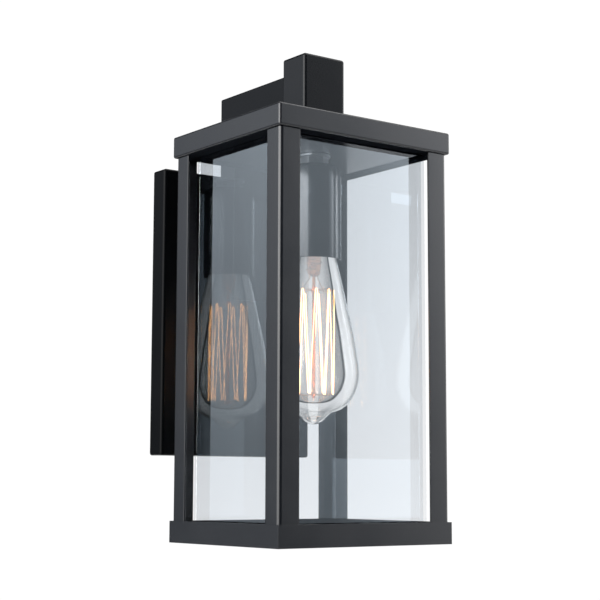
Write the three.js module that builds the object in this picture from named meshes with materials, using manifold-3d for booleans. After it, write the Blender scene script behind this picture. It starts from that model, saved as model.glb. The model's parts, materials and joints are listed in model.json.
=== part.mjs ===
import * as THREE from "three";
import { mergeVertices } from "three/addons/utils/BufferGeometryUtils.js";
import Module from "manifold-3d";

// Outdoor wall lantern: a box of clear panes in a frame of corner angles hangs from an arm that
// stands on a shallow wall box, with one long screw-in lamp inside.
// Millimetres, +Z up. The wall is the plane y = 0 and the lantern stands out from it along -Y.
// The origin is the middle of the mounting crossbar's rear face.

const wasm = await Module();
wasm.setup();

// ---- Sizes ---------------------------------------------------------------------------------

const FIT = 0.3; // gap between two pieces that bear on each other
const HOLE_FIT = 0.3; // radial room of a screw, nut or nipple in its hole
const PAST = 1; // how far a cutting solid runs past the face it opens

// Wall box
const BACKPLATE_WIDTH = 124;
const BACKPLATE_HEIGHT = 196;
const BACKPLATE_DEPTH = 14.3;
const BACKPLATE_SHEET = 1.5;
const GASKET_WIDTH = 6;
const GASKET_THICKNESS = 3;
const CROSSBAR_WIDTH = 24;
const CROSSBAR_SHEET = 1.6;
const CROSSBAR_TAB = 9.5; // how far the bent ends stand out from the wall
const BOX_SCREW_SPACING = 88.9; // slots for the screws of a round junction box
const BOX_SLOT_WIDTH = 4.6;
const BOX_SLOT_LENGTH = 14;
const GROUND_SCREW_Z = -26;
const GROUND_SCREW_RADIUS = 2;
const GROUND_HEAD_FLATS = 8;
const GROUND_HEAD_THICKNESS = 2.5;
const LOCK_SCREW_RADIUS = 2;
const LOCK_SCREW_LENGTH = 14;
const LOCK_SCREW_FROM_WALL = 6.5;
const SOCKET_KEY_RADIUS = 1.1; // hexagon socket of the set screws, to its corners
const SOCKET_KEY_DEPTH = 2;

// Arm: a vertical tube on the wall box, mitred to a horizontal one
const ARM_WIDTH = 33.6;
const ARM_SECTION = 18; // the tubes' other side
const ARM_SHEET = 1.5;
const ARM_ABOVE_ROOF = 39; // top of the arm over the roof
const TUBE_BOTTOM_Z = 8.7;
const TUBE_SCREW_LOW_Z = 25;
const TUBE_SCREW_HIGH_Z = 76;
const TUBE_SCREW_RADIUS = 2.5;
const TUBE_SCREW_REACH = 9.3; // thread past the inside of its head
const TUBE_HEAD_RADIUS = 4.5;
const TUBE_HEAD_THICKNESS = 3;
const WELD_NUT_SIDE = 10;
const WELD_NUT_THICKNESS = 4;
const GROMMET_Z = 50;
const GROMMET_HOLE_RADIUS = 7;
const GROMMET_BORE_RADIUS = 4.6;
const GROMMET_FLANGE = 1.6; // how far each flange stands past the hole
const GROMMET_FLANGE_THICKNESS = 1;

// Block on the roof that the arm holds
const BLOCK_DEPTH = 23.4;
const BLOCK_HEIGHT = 50.6;
const BLOCK_SHEET = 1.5;
const TONGUE_IN_BLOCK = 5;
const TONGUE_IN_ARM = 18;
const TONGUE_SHEET = 1.5;
const SET_SCREW_RADIUS = 2;
const SET_SCREW_LENGTH = 4.4;
const SET_SCREW_FROM_BLOCK = 9;
const BRIDGE_THICKNESS = 4;
const BRIDGE_ABOVE_ROOF = 2;

// Lantern body
const BODY_WIDTH = 135; // over the corner posts
const BODY_DEPTH = 118.1;
const BODY_HEIGHT = 268.8; // base to roof top
const BODY_BOTTOM_Z = -154.85;
const BODY_TO_WALL_BOX = 24.2;
const POST_FRONT_LEG = 15.2;
const POST_SIDE_LEG = 14;
const POST_SHEET = 1.5;
const FOOT_BLOCK_SIDE = 6.2;
const FOOT_BLOCK_HEIGHT = 8;
const ROOF_SHEET = 1.5;
const ROOF_SKIRT = 14.4;
const ROOF_SIDE_GAP = 0.5;
const CEILING_SHEET = 1.5;
const GROOVE_DEPTH = 4; // how far the panes reach up into the ceiling tray
const BASE_HEIGHT = 14;
const BASE_SHEET = 1;
const BASE_FLOOR = 2.4;
const BASE_RIB = 1.2;
const BASE_OUTER_RIB_HEIGHT = 7;
const BASE_INNER_RIB_HEIGHT = 10;
const BASE_SCREW_RADIUS = 1.5;
const BASE_SCREW_HEAD_RADIUS = 2.9;
const BASE_SCREW_HEAD_HEIGHT = 1.5;
const BASE_SCREW_LENGTH = 9;
const PANE_THICKNESS = 3;
const PANE_INSET = 10; // post face to pane face

// Hanging rod, nuts and lampholder, all on the lamp's axis
const LAMP_TO_FRONT = 55;
const NIPPLE_RADIUS = 5;
const NIPPLE_BORE_RADIUS = 3.3;
const NIPPLE_ABOVE_BRIDGE = 2;
const NUT_FLATS = 17;
const NUT_THICKNESS = 5;
const JAM_NUT_THICKNESS = 4;
const WASHER_RADIUS = 11;
const WASHER_THICKNESS = 1.2;
const CUP_HEIGHT = 62.6;
const CUP_BELOW_CEILING = 7.8;
const CUP_SHEET = 1;
const CUP_SHOULDER = 3;
const BRACKET_SHEET = 1.5;
const BRACKET_WIDTH = 9;
const BRACKET_SPAN = 23;
const HOLDER_TOP_BELOW_CUP = 14.1;
const HOLDER_HEIGHT = 40;
const HOLDER_WALL = 2.3; // porcelain outside the screw shell
const HOLDER_ROOM_IN_CUP = 0.6;
const HOLDER_BORE_DEPTH = 31.6;
const SHELL_SHEET = 0.5;
const SHELL_LENGTH = 29;
const CONTACT_RADIUS = 4;
const CONTACT_THICKNESS = 1.2;
const TERMINAL_OUT = 10.5;
const TERMINAL_HEAD_RADIUS = 3;
const TERMINAL_HEAD_THICKNESS = 2.2;
const TERMINAL_SHANK_RADIUS = 1.5;
const TERMINAL_SHANK_LENGTH = 5;
const LEAD_RADIUS = 1;
const LEAD_SPACING = 3;

// Lamp
const LAMP_LENGTH = 146;
const LAMP_RADIUS = 29.7;
const LAMP_WALL = 0.8;
const LAMP_NECK_ROOM = 0.4; // cement between the glass neck and the cap
const LAMP_NECK_END = 2; // from the neck's rim to the end of the cap's shell
const LAMP_NECK_SHOULDER = 2;
const CAP_RADIUS = 13.1;
const CAP_SHEET = 0.5;
const CAP_LENGTH = 26.5;
const CAP_CONTACT_RADIUS = 4.5;
const CAP_CONTACT_HEIGHT = 1.4;
const CAP_INSULATOR_HEIGHT = 3;
const CAP_INSULATOR_INSET = 2;
const CAP_ROOM = 0.5; // radial room of the lamp's cap in the screw shell
const STEM_RADIUS = 4;
const STEM_BOTTOM = 97; // heights over the lamp's tip
const STEM_END_RADIUS = 2.8;
const STEM_TAPER = 4;
const STEM_SHOULDER = 8;
const FLARE_START = 4; // heights over the cap's rim
const FLARE_END = 12;
const FLARE_RIM = 1;
const HUB_HIGH = 87.7;
const HUB_LOW = 19.7;
const ROD_RADIUS = 1;
const HUB_RADIUS = 2.6;
const HUB_HEIGHT = 1.6;
const SUPPORT_WIRE_RADIUS = 0.35;
const FILAMENT_RADIUS = 0.35;
const CAGE_RADIUS = 13.8;
const CAGE_HAIRPINS = 9;
// Outline of the glass from the tip to the cap, as [radius, height over the tip]. It is drawn for
// this radius and height, and stretched to the lamp's own.
const OUTLINE_RADIUS = 29.7;
const OUTLINE_HEIGHT = 119.5;
const LAMP_OUTLINE = [
  [0, 0],
  [3.5, 0.9],
  [6.6, 2.9],
  [10.4, 6.1],
  [14.4, 8.2],
  [21.6, 12.7],
  [27.3, 22],
  [29.7, 32],
  [28.6, 43.6],
  [25.7, 60.7],
  [22, 77.1],
  [17.9, 95.9],
  [15.2, 107],
  [13.3, 115.5],
];

// ---- Places worked out from the sizes -------------------------------------------------------

const ARM_INNER = ARM_WIDTH - 2 * ARM_SHEET;
const BODY_REAR_Y = -(BACKPLATE_DEPTH + BODY_TO_WALL_BOX);
const BODY_FRONT_Y = BODY_REAR_Y - BODY_DEPTH;
const BODY_TOP_Z = BODY_BOTTOM_Z + BODY_HEIGHT;
const SKIRT_BOTTOM_Z = BODY_TOP_Z - ROOF_SKIRT;
const LAMP_Y = BODY_FRONT_Y + LAMP_TO_FRONT;
const ARM_TOP_Z = BODY_TOP_Z + ARM_ABOVE_ROOF;
const ARM_BOTTOM_Z = ARM_TOP_Z - ARM_SECTION;
const ARM_MIDDLE_Z = ARM_TOP_Z - ARM_SECTION / 2;
const TUBE_REAR_Y = -BACKPLATE_DEPTH - FIT;
const TUBE_FRONT_Y = TUBE_REAR_Y - ARM_SECTION;
const BLOCK_REAR_Y = LAMP_Y + BLOCK_DEPTH / 2;
const BLOCK_BOTTOM_Z = BODY_TOP_Z + FIT;
const CUP_TOP_Z = SKIRT_BOTTOM_Z - CUP_BELOW_CEILING;
const CUP_BOTTOM_Z = CUP_TOP_Z - CUP_HEIGHT;
const CAP_ROOM_RADIUS = CAP_RADIUS + CAP_ROOM;
const SHELL_OUTER_RADIUS = CAP_ROOM_RADIUS + SHELL_SHEET;
const HOLDER_RADIUS = SHELL_OUTER_RADIUS + HOLDER_WALL;
const CUP_RADIUS = HOLDER_RADIUS + HOLDER_ROOM_IN_CUP + CUP_SHEET;
const LAMP_NECK_RADIUS = CAP_RADIUS - CAP_SHEET - LAMP_NECK_ROOM;
const HOLDER_TOP_Z = CUP_TOP_Z - HOLDER_TOP_BELOW_CUP;
const HOLDER_BOTTOM_Z = HOLDER_TOP_Z - HOLDER_HEIGHT;
const HOLDER_SEAT_Z = HOLDER_BOTTOM_Z + HOLDER_BORE_DEPTH;
const CONTACT_BOTTOM_Z = HOLDER_SEAT_Z - FIT - CONTACT_THICKNESS;
const LAMP_TOP_Z = CONTACT_BOTTOM_Z - FIT;
const LAMP_TIP_Z = LAMP_TOP_Z - LAMP_LENGTH;
const JAM_NUT_BOTTOM_Z = CUP_TOP_Z - CUP_SHEET - FIT - JAM_NUT_THICKNESS;
const BRACKET_TOP_Z = JAM_NUT_BOTTOM_Z - FIT;
const NIPPLE_BOTTOM_Z = BRACKET_TOP_Z - BRACKET_SHEET;
const BRIDGE_BOTTOM_Z = BODY_TOP_Z + BRIDGE_ABOVE_ROOF;
const NIPPLE_TOP_Z = BRIDGE_BOTTOM_Z + BRIDGE_THICKNESS + NIPPLE_ABOVE_BRIDGE;
const BASE_FLOOR_TOP_Z = BODY_BOTTOM_Z + BASE_FLOOR;
const CROSSBAR_HALF = BACKPLATE_HEIGHT / 2 - BACKPLATE_SHEET - GASKET_WIDTH - 2 * FIT;

// ---- Materials ------------------------------------------------------------------------------

const material = (color, roughness, metalness, more = {}) =>
  new THREE.MeshStandardMaterial({ color, roughness, metalness, ...more });

const paint = material(0x2b2f34, 0.42, 0.25);
const paneGlass = material(0xf2f6f6, 0.03, 0, { transparent: true, opacity: 0.2 });
const lampGlass = material(0xfff6ea, 0.03, 0, { transparent: true, opacity: 0.25 });
const zincSteel = material(0xb4b7b9, 0.38, 0.9);
const greenSteel = material(0x2f7d45, 0.45, 0.6);
const nickelBrass = material(0xb9a36a, 0.3, 0.95);
const solder = material(0xa9abad, 0.45, 0.85);
const blackGlass = material(0x17171a, 0.15, 0);
const porcelain = material(0xece7dc, 0.3, 0);
const rubber = material(0x1c1c1d, 0.85, 0);
const foam = material(0x333335, 0.95, 0);
const blackSleeve = material(0x1a1a1b, 0.55, 0);
const whiteSleeve = material(0xe9e8e3, 0.55, 0);
const greenSleeve = material(0x2c6f3f, 0.55, 0);
const supportWire = material(0x8c7a63, 0.4, 0.8);
const glowingWire = material(0xffb86b, 0.6, 0, { emissive: 0xff9a3d });

// ---- Solids ---------------------------------------------------------------------------------

function solidOf(geometry) {
  const bare = geometry.clone();
  bare.deleteAttribute("normal");
  bare.deleteAttribute("uv");
  const merged = mergeVertices(bare, 1e-4);
  return new wasm.Manifold(
    new wasm.Mesh({
      numProp: 3,
      vertProperties: new Float32Array(merged.attributes.position.array),
      triVerts: new Uint32Array(merged.index.array),
    }),
  );
}

function geometryOf(solid) {
  const mesh = solid.getMesh();
  const geometry = new THREE.BufferGeometry();
  geometry.setAttribute("position", new THREE.BufferAttribute(mesh.vertProperties, 3));
  geometry.setIndex(new THREE.BufferAttribute(mesh.triVerts, 1));
  const flat = geometry.toNonIndexed();
  flat.computeVertexNormals();
  return flat;
}

function joined(...geometries) {
  return geometryOf(geometries.map(solidOf).reduce((sum, solid) => sum.add(solid)));
}

function cut(geometry, ...tools) {
  return geometryOf(tools.map(solidOf).reduce((left, tool) => left.subtract(tool), solidOf(geometry)));
}

function box([x0, x1], [y0, y1], [z0, z1]) {
  const geometry = new THREE.BoxGeometry(x1 - x0, y1 - y0, z1 - z0);
  return geometry.translate((x0 + x1) / 2, (y0 + y1) / 2, (z0 + z1) / 2);
}

const across = (width, middle = 0) => [middle - width / 2, middle + width / 2];

// A prism of regular section, or a round bar, on an axis that runs along "x", "y" or "z".
function bar(axis, radius, from, to, centre, sides = 16) {
  const geometry = new THREE.CylinderGeometry(radius, radius, to - from, sides);
  geometry.translate(0, (from + to) / 2, 0);
  if (axis === "x") geometry.rotateZ(-Math.PI / 2);
  if (axis === "z") geometry.rotateX(Math.PI / 2);
  return geometry.translate(...centre);
}

const onLamp = [0, LAMP_Y, 0];
const lampBar = (radius, from, to, sides = 24) => bar("z", radius, from, to, onLamp, sides);
const hexRadius = (flats) => flats / 2 / Math.cos(Math.PI / 6);

// Profile points are [radius, height]; the outline closes on the axis or on itself.
function turned(points, sides, [x, y, z] = [0, LAMP_Y, 0]) {
  const outline = points.map(([radius, height]) => new THREE.Vector2(radius, height));
  return new THREE.LatheGeometry(outline, sides).rotateX(Math.PI / 2).translate(x, y, z);
}

function ring(inner, outer, from, to, sides = 24) {
  return cut(lampBar(outer, from, to, sides), lampBar(inner, from - PAST, to + PAST, 24));
}

// A slab over the body's plan, its sides at the given inset from the post faces.
function bodyPlan(inset, z) {
  return box(across(BODY_WIDTH - 2 * inset), [BODY_FRONT_Y + inset, BODY_REAR_Y - inset], z);
}

// A four-sided ring standing on z0, its faces at the given insets from the body's post faces.
function frameRing(outerInset, innerInset, [z0, z1]) {
  return cut(bodyPlan(outerInset, [z0, z1]), bodyPlan(innerInset, [z0 - PAST, z1 + PAST]));
}

// A round wire along the given points, with smooth bends.
function wire(points, radius, sides, steps) {
  const section = new THREE.Shape(
    Array.from({ length: sides }, (_, i) => {
      const turn = (2 * Math.PI * i) / sides;
      return new THREE.Vector2(radius * Math.cos(turn), radius * Math.sin(turn));
    }),
  );
  const route = new THREE.CatmullRomCurve3(points.map((p) => new THREE.Vector3(...p)), false, "centripetal");
  return new THREE.ExtrudeGeometry(section, { steps, bevelEnabled: false, extrudePath: route });
}

const lantern = new THREE.Group();

function add(name, geometry, surface) {
  const mesh = new THREE.Mesh(geometry, surface);
  mesh.name = name;
  lantern.add(mesh);
}

// ---- Wall box -------------------------------------------------------------------------------

// A headless screw along Z, with its hexagon socket in its upper or its lower end.
function setScrew(radius, from, to, centre, socketOnTop) {
  const key = socketOnTop
    ? [to - SOCKET_KEY_DEPTH, to + PAST]
    : [from - PAST, from + SOCKET_KEY_DEPTH];
  return cut(bar("z", radius, from, to, centre), bar("z", SOCKET_KEY_RADIUS, ...key, centre, 6));
}

function addWallBox() {
  const halfHeight = BACKPLATE_HEIGHT / 2;
  const inside = BACKPLATE_WIDTH - 2 * BACKPLATE_SHEET;
  const insideHeight = BACKPLATE_HEIGHT - 2 * BACKPLATE_SHEET;
  const tubeScrews = [TUBE_SCREW_LOW_Z, TUBE_SCREW_HIGH_Z];

  const lockHole = (z0, z1) =>
    bar("z", LOCK_SCREW_RADIUS + HOLE_FIT, z0, z1, [0, -LOCK_SCREW_FROM_WALL, 0]);

  add(
    "wall_backplate",
    cut(
      box(across(BACKPLATE_WIDTH), [-BACKPLATE_DEPTH, 0], across(BACKPLATE_HEIGHT)),
      box(across(inside), [-BACKPLATE_DEPTH + BACKPLATE_SHEET, PAST], across(insideHeight)),
      bar("y", GROMMET_HOLE_RADIUS, -BACKPLATE_DEPTH - PAST, 0, [0, 0, GROMMET_Z], 24),
      ...tubeScrews.map((z) =>
        bar("y", TUBE_SCREW_RADIUS + HOLE_FIT, -BACKPLATE_DEPTH - PAST, 0, [0, 0, z]),
      ),
      lockHole(-halfHeight - PAST, halfHeight + PAST),
    ),
    paint,
  );

  const gasketOuter = [across(inside - 2 * FIT), across(insideHeight - 2 * FIT)];
  const gasketInner = gasketOuter.map(([low, high]) => [low + GASKET_WIDTH, high - GASKET_WIDTH]);
  add(
    "wall_gasket",
    cut(
      box(gasketOuter[0], [-GASKET_THICKNESS, 0], gasketOuter[1]),
      box(gasketInner[0], [-GASKET_THICKNESS - PAST, PAST], gasketInner[1]),
    ),
    foam,
  );

  const tabZ = CROSSBAR_HALF - CROSSBAR_SHEET / 2;
  const tab = (side) =>
    box(across(CROSSBAR_WIDTH), [-CROSSBAR_TAB, 0], across(CROSSBAR_SHEET, side * tabZ));
  const slot = (side) => {
    const straight = BOX_SLOT_LENGTH - BOX_SLOT_WIDTH;
    const middle = (side * BOX_SCREW_SPACING) / 2;
    const end = (z) => bar("y", BOX_SLOT_WIDTH / 2, -CROSSBAR_TAB, PAST, [0, 0, z]);
    const [low, high] = across(straight, middle);
    return joined(box(across(BOX_SLOT_WIDTH), [-CROSSBAR_TAB, PAST], [low, high]), end(low), end(high));
  };
  add(
    "mounting_crossbar",
    cut(
      joined(
        box(across(CROSSBAR_WIDTH), [-CROSSBAR_SHEET, 0], across(2 * CROSSBAR_HALF)),
        tab(1),
        tab(-1),
      ),
      slot(1),
      slot(-1),
      bar("y", GROUND_SCREW_RADIUS + HOLE_FIT, -CROSSBAR_TAB, PAST, [0, 0, GROUND_SCREW_Z]),
      lockHole(-halfHeight, halfHeight),
    ),
    zincSteel,
  );

  const groundAxis = [0, 0, GROUND_SCREW_Z];
  const headRadius = hexRadius(GROUND_HEAD_FLATS);
  const headRear = -CROSSBAR_SHEET - FIT;
  add(
    "ground_screw",
    joined(
      bar("y", headRadius, headRear - GROUND_HEAD_THICKNESS, headRear, groundAxis, 6),
      bar("y", GROUND_SCREW_RADIUS, headRear - PAST, -FIT, groundAxis),
    ),
    greenSteel,
  );

  const lockAxis = [0, -LOCK_SCREW_FROM_WALL, 0];
  add(
    "lock_screw_top",
    setScrew(LOCK_SCREW_RADIUS, halfHeight - LOCK_SCREW_LENGTH, halfHeight, lockAxis, true),
    zincSteel,
  );
  add(
    "lock_screw_bottom",
    setScrew(LOCK_SCREW_RADIUS, -halfHeight, -halfHeight + LOCK_SCREW_LENGTH, lockAxis, false),
    zincSteel,
  );
}

// ---- Arm ------------------------------------------------------------------------------------

// A prism along X whose outline is drawn in y and z.
function prismAlongX(outline, [x0, x1]) {
  const shape = new THREE.Shape(outline.map(([y, z]) => new THREE.Vector2(y, z)));
  const geometry = new THREE.ExtrudeGeometry(shape, { depth: x1 - x0, bevelEnabled: false });
  const turn = new THREE.Matrix4().makeBasis(
    new THREE.Vector3(0, 1, 0),
    new THREE.Vector3(0, 0, 1),
    new THREE.Vector3(1, 0, 0),
  );
  return geometry.applyMatrix4(turn).translate(x0, 0, 0);
}

function addArm() {
  const mitre = FIT / Math.SQRT2; // each tube's share of the gap in the mitre, along its own length
  const inner = across(ARM_INNER);
  const wallY = TUBE_REAR_Y - ARM_SHEET;

  const tube = prismAlongX(
    [
      [TUBE_REAR_Y, TUBE_BOTTOM_Z],
      [TUBE_REAR_Y, ARM_TOP_Z - mitre],
      [TUBE_FRONT_Y, ARM_BOTTOM_Z - mitre],
      [TUBE_FRONT_Y, TUBE_BOTTOM_Z],
    ],
    across(ARM_WIDTH),
  );
  const throughRear = (radius, z, sides) =>
    bar("y", radius, wallY - PAST, TUBE_REAR_Y + PAST, [0, 0, z], sides);
  add(
    "drop_tube",
    cut(
      tube,
      box(inner, [TUBE_FRONT_Y + ARM_SHEET, wallY], [TUBE_BOTTOM_Z + ARM_SHEET, ARM_TOP_Z + PAST]),
      throughRear(GROMMET_HOLE_RADIUS, GROMMET_Z, 24),
      throughRear(TUBE_SCREW_RADIUS + HOLE_FIT, TUBE_SCREW_LOW_Z),
      throughRear(TUBE_SCREW_RADIUS + HOLE_FIT, TUBE_SCREW_HIGH_Z),
    ),
    paint,
  );

  const armFrontY = BLOCK_REAR_Y + FIT;
  const setScrewY = BLOCK_REAR_Y + SET_SCREW_FROM_BLOCK;
  const setScrewTop = ARM_BOTTOM_Z + SET_SCREW_LENGTH;
  const setScrewHole = bar(
    "z", SET_SCREW_RADIUS + HOLE_FIT, ARM_BOTTOM_Z - PAST, setScrewTop + PAST, [0, setScrewY, 0],
  );
  const armInside = [ARM_BOTTOM_Z + ARM_SHEET, ARM_TOP_Z - ARM_SHEET];
  add(
    "arm_tube",
    cut(
      prismAlongX(
        [
          [armFrontY, ARM_BOTTOM_Z],
          [TUBE_FRONT_Y - mitre, ARM_BOTTOM_Z],
          [TUBE_REAR_Y - mitre, ARM_TOP_Z],
          [armFrontY, ARM_TOP_Z],
        ],
        across(ARM_WIDTH),
      ),
      box(inner, [armFrontY - PAST, TUBE_REAR_Y + PAST], armInside),
      setScrewHole,
    ),
    paint,
  );
  add(
    "arm_set_screw",
    setScrew(SET_SCREW_RADIUS, ARM_BOTTOM_Z, setScrewTop, [0, setScrewY, 0], false),
    zincSteel,
  );

  const tongueWidth = ARM_INNER - 2 * FIT;
  const tongueHeight = armInside[1] - armInside[0] - 2 * FIT;
  const tongueY = [BLOCK_REAR_Y - BLOCK_SHEET - TONGUE_IN_BLOCK, BLOCK_REAR_Y + TONGUE_IN_ARM];
  add(
    "arm_tongue",
    cut(
      box(across(tongueWidth), tongueY, across(tongueHeight, ARM_MIDDLE_Z)),
      box(
        across(tongueWidth - 2 * TONGUE_SHEET),
        [tongueY[0] - PAST, tongueY[1] + PAST],
        across(tongueHeight - 2 * TONGUE_SHEET, ARM_MIDDLE_Z),
      ),
      setScrewHole,
    ),
    zincSteel,
  );

  const headRear = -BACKPLATE_DEPTH + BACKPLATE_SHEET + FIT;
  const nutFront = wallY - FIT - WELD_NUT_THICKNESS;
  [["low", TUBE_SCREW_LOW_Z], ["high", TUBE_SCREW_HIGH_Z]].forEach(([place, z]) => {
    add(
      `tube_screw_${place}`,
      joined(
        bar("y", TUBE_HEAD_RADIUS, headRear, headRear + TUBE_HEAD_THICKNESS, [0, 0, z], 20),
        bar("y", TUBE_SCREW_RADIUS, headRear - TUBE_SCREW_REACH, headRear + FIT, [0, 0, z]),
      ),
      zincSteel,
    );
    add(
      `weld_nut_${place}`,
      cut(
        box(across(WELD_NUT_SIDE), [nutFront, wallY - FIT], across(WELD_NUT_SIDE, z)),
        bar("y", TUBE_SCREW_RADIUS + HOLE_FIT, nutFront - PAST, wallY + PAST, [0, 0, z]),
      ),
      zincSteel,
    );
  });

  const plateInside = -BACKPLATE_DEPTH + BACKPLATE_SHEET;
  const sleeve = GROMMET_HOLE_RADIUS - FIT;
  const flange = GROMMET_HOLE_RADIUS + GROMMET_FLANGE;
  const rear = plateInside + FIT;
  const front = wallY - FIT;
  const grommet = new THREE.LatheGeometry(
    [
      [GROMMET_BORE_RADIUS, front - GROMMET_FLANGE_THICKNESS],
      [flange, front - GROMMET_FLANGE_THICKNESS],
      [flange, front],
      [sleeve, front],
      [sleeve, rear],
      [flange, rear],
      [flange, rear + GROMMET_FLANGE_THICKNESS],
      [GROMMET_BORE_RADIUS, rear + GROMMET_FLANGE_THICKNESS],
      [GROMMET_BORE_RADIUS, front - GROMMET_FLANGE_THICKNESS],
    ].map(([radius, y]) => new THREE.Vector2(radius, y)),
    24,
  );
  add("wire_grommet", grommet.translate(0, 0, GROMMET_Z), rubber);
}

function addBlock() {
  const blockY = across(BLOCK_DEPTH, LAMP_Y);
  const insideY = [blockY[0] + BLOCK_SHEET, blockY[1] - BLOCK_SHEET];
  const insideX = across(ARM_WIDTH - 2 * BLOCK_SHEET);
  const top = BLOCK_BOTTOM_Z + BLOCK_HEIGHT;
  const windowHeight = ARM_SECTION - 2 * ARM_SHEET;
  add(
    "roof_block",
    cut(
      box(across(ARM_WIDTH), blockY, [BLOCK_BOTTOM_Z, top]),
      box(insideX, insideY, [BLOCK_BOTTOM_Z - PAST, top - BLOCK_SHEET]),
      box(across(ARM_INNER), [insideY[1] - PAST, blockY[1] + PAST], across(windowHeight, ARM_MIDDLE_Z)),
    ),
    paint,
  );
  add(
    "block_bridge",
    cut(
      box(
        [insideX[0] + FIT, insideX[1] - FIT],
        [insideY[0] + FIT, insideY[1] - FIT],
        [BRIDGE_BOTTOM_Z, BRIDGE_BOTTOM_Z + BRIDGE_THICKNESS],
      ),
      lampBar(NIPPLE_RADIUS + HOLE_FIT, BRIDGE_BOTTOM_Z - PAST, BRIDGE_BOTTOM_Z + BRIDGE_THICKNESS + PAST),
    ),
    zincSteel,
  );
}

// ---- Lantern body ---------------------------------------------------------------------------

const sides = [
  ["left", -1],
  ["right", 1],
];
const ends = [
  ["front", BODY_FRONT_Y, 1],
  ["rear", BODY_REAR_Y, -1],
];
const footMiddle = POST_SHEET + FOOT_BLOCK_SIDE / 2;

function addPosts() {
  const bottom = BASE_FLOOR_TOP_Z + FIT;
  const top = SKIRT_BOTTOM_Z - FIT;
  for (const [end, faceY, inward] of ends) {
    for (const [side, outward] of sides) {
      const faceX = (outward * BODY_WIDTH) / 2;
      const reach = (along, deep, z) =>
        box(
          [faceX, faceX - outward * along].sort((a, b) => a - b),
          [faceY, faceY + inward * deep].sort((a, b) => a - b),
          z,
        );
      const foot = [faceX - outward * footMiddle, faceY + inward * footMiddle, 0];
      const footSide = POST_SHEET + FOOT_BLOCK_SIDE;
      add(
        `post_${end}_${side}`,
        cut(
          joined(
            reach(POST_FRONT_LEG, POST_SHEET, [bottom, top]),
            reach(POST_SHEET, POST_SIDE_LEG, [bottom, top]),
            reach(footSide, footSide, [bottom, bottom + FOOT_BLOCK_HEIGHT]),
          ),
          bar("z", BASE_SCREW_RADIUS + HOLE_FIT, bottom - PAST, bottom + FOOT_BLOCK_HEIGHT + PAST, foot),
        ),
        paint,
      );
      add(
        `base_screw_${end}_${side}`,
        turned(
          [
            [0, 0],
            [BASE_SCREW_HEAD_RADIUS, 0],
            [BASE_SCREW_RADIUS, BASE_SCREW_HEAD_HEIGHT],
            [BASE_SCREW_RADIUS, BASE_SCREW_LENGTH],
            [0, BASE_SCREW_LENGTH],
          ],
          16,
          [foot[0], foot[1], BODY_BOTTOM_Z],
        ),
        paint,
      );
    }
  }
}

function addBase() {
  const overhang = BASE_SHEET + FIT;
  const outerRib = PANE_INSET - FIT;
  const innerRib = PANE_INSET + PANE_THICKNESS + FIT;
  const floorZ = [BODY_BOTTOM_Z, BASE_FLOOR_TOP_Z];
  const screwHoles = ends.flatMap(([, faceY, inward]) =>
    sides.map(([, outward]) =>
      turned(
        [
          [0, -PAST],
          [BASE_SCREW_HEAD_RADIUS + HOLE_FIT, -PAST],
          [BASE_SCREW_HEAD_RADIUS + HOLE_FIT, 0],
          [BASE_SCREW_RADIUS + HOLE_FIT, BASE_SCREW_HEAD_HEIGHT],
          [BASE_SCREW_RADIUS + HOLE_FIT, BASE_FLOOR + PAST],
          [0, BASE_FLOOR + PAST],
        ],
        16,
        [outward * (BODY_WIDTH / 2 - footMiddle), faceY + inward * footMiddle, BODY_BOTTOM_Z],
      ),
    ),
  );
  add(
    "base_ring",
    cut(
      joined(
        frameRing(-overhang, innerRib + BASE_RIB, floorZ),
        frameRing(-overhang, -FIT, [BODY_BOTTOM_Z, BODY_BOTTOM_Z + BASE_HEIGHT]),
        frameRing(outerRib - BASE_RIB, outerRib, [BODY_BOTTOM_Z, BODY_BOTTOM_Z + BASE_OUTER_RIB_HEIGHT]),
        frameRing(innerRib, innerRib + BASE_RIB, [BODY_BOTTOM_Z, BODY_BOTTOM_Z + BASE_INNER_RIB_HEIGHT]),
      ),
      ...screwHoles,
    ),
    paint,
  );
}

function addPanes() {
  const z = [BASE_FLOOR_TOP_Z + FIT, SKIRT_BOTTOM_Z + GROOVE_DEPTH - FIT];
  const halfWidth = BODY_WIDTH / 2 - PANE_INSET;
  const frontY = BODY_FRONT_Y + PANE_INSET;
  const rearY = BODY_REAR_Y - PANE_INSET;
  const innerY = [frontY + PANE_THICKNESS + FIT, rearY - PANE_THICKNESS - FIT];
  add("pane_front", box([-halfWidth, halfWidth], [frontY, frontY + PANE_THICKNESS], z), paneGlass);
  add("pane_rear", box([-halfWidth, halfWidth], [rearY - PANE_THICKNESS, rearY], z), paneGlass);
  add("pane_left", box([-halfWidth, -halfWidth + PANE_THICKNESS], innerY, z), paneGlass);
  add("pane_right", box([halfWidth - PANE_THICKNESS, halfWidth], innerY, z), paneGlass);
}

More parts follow.
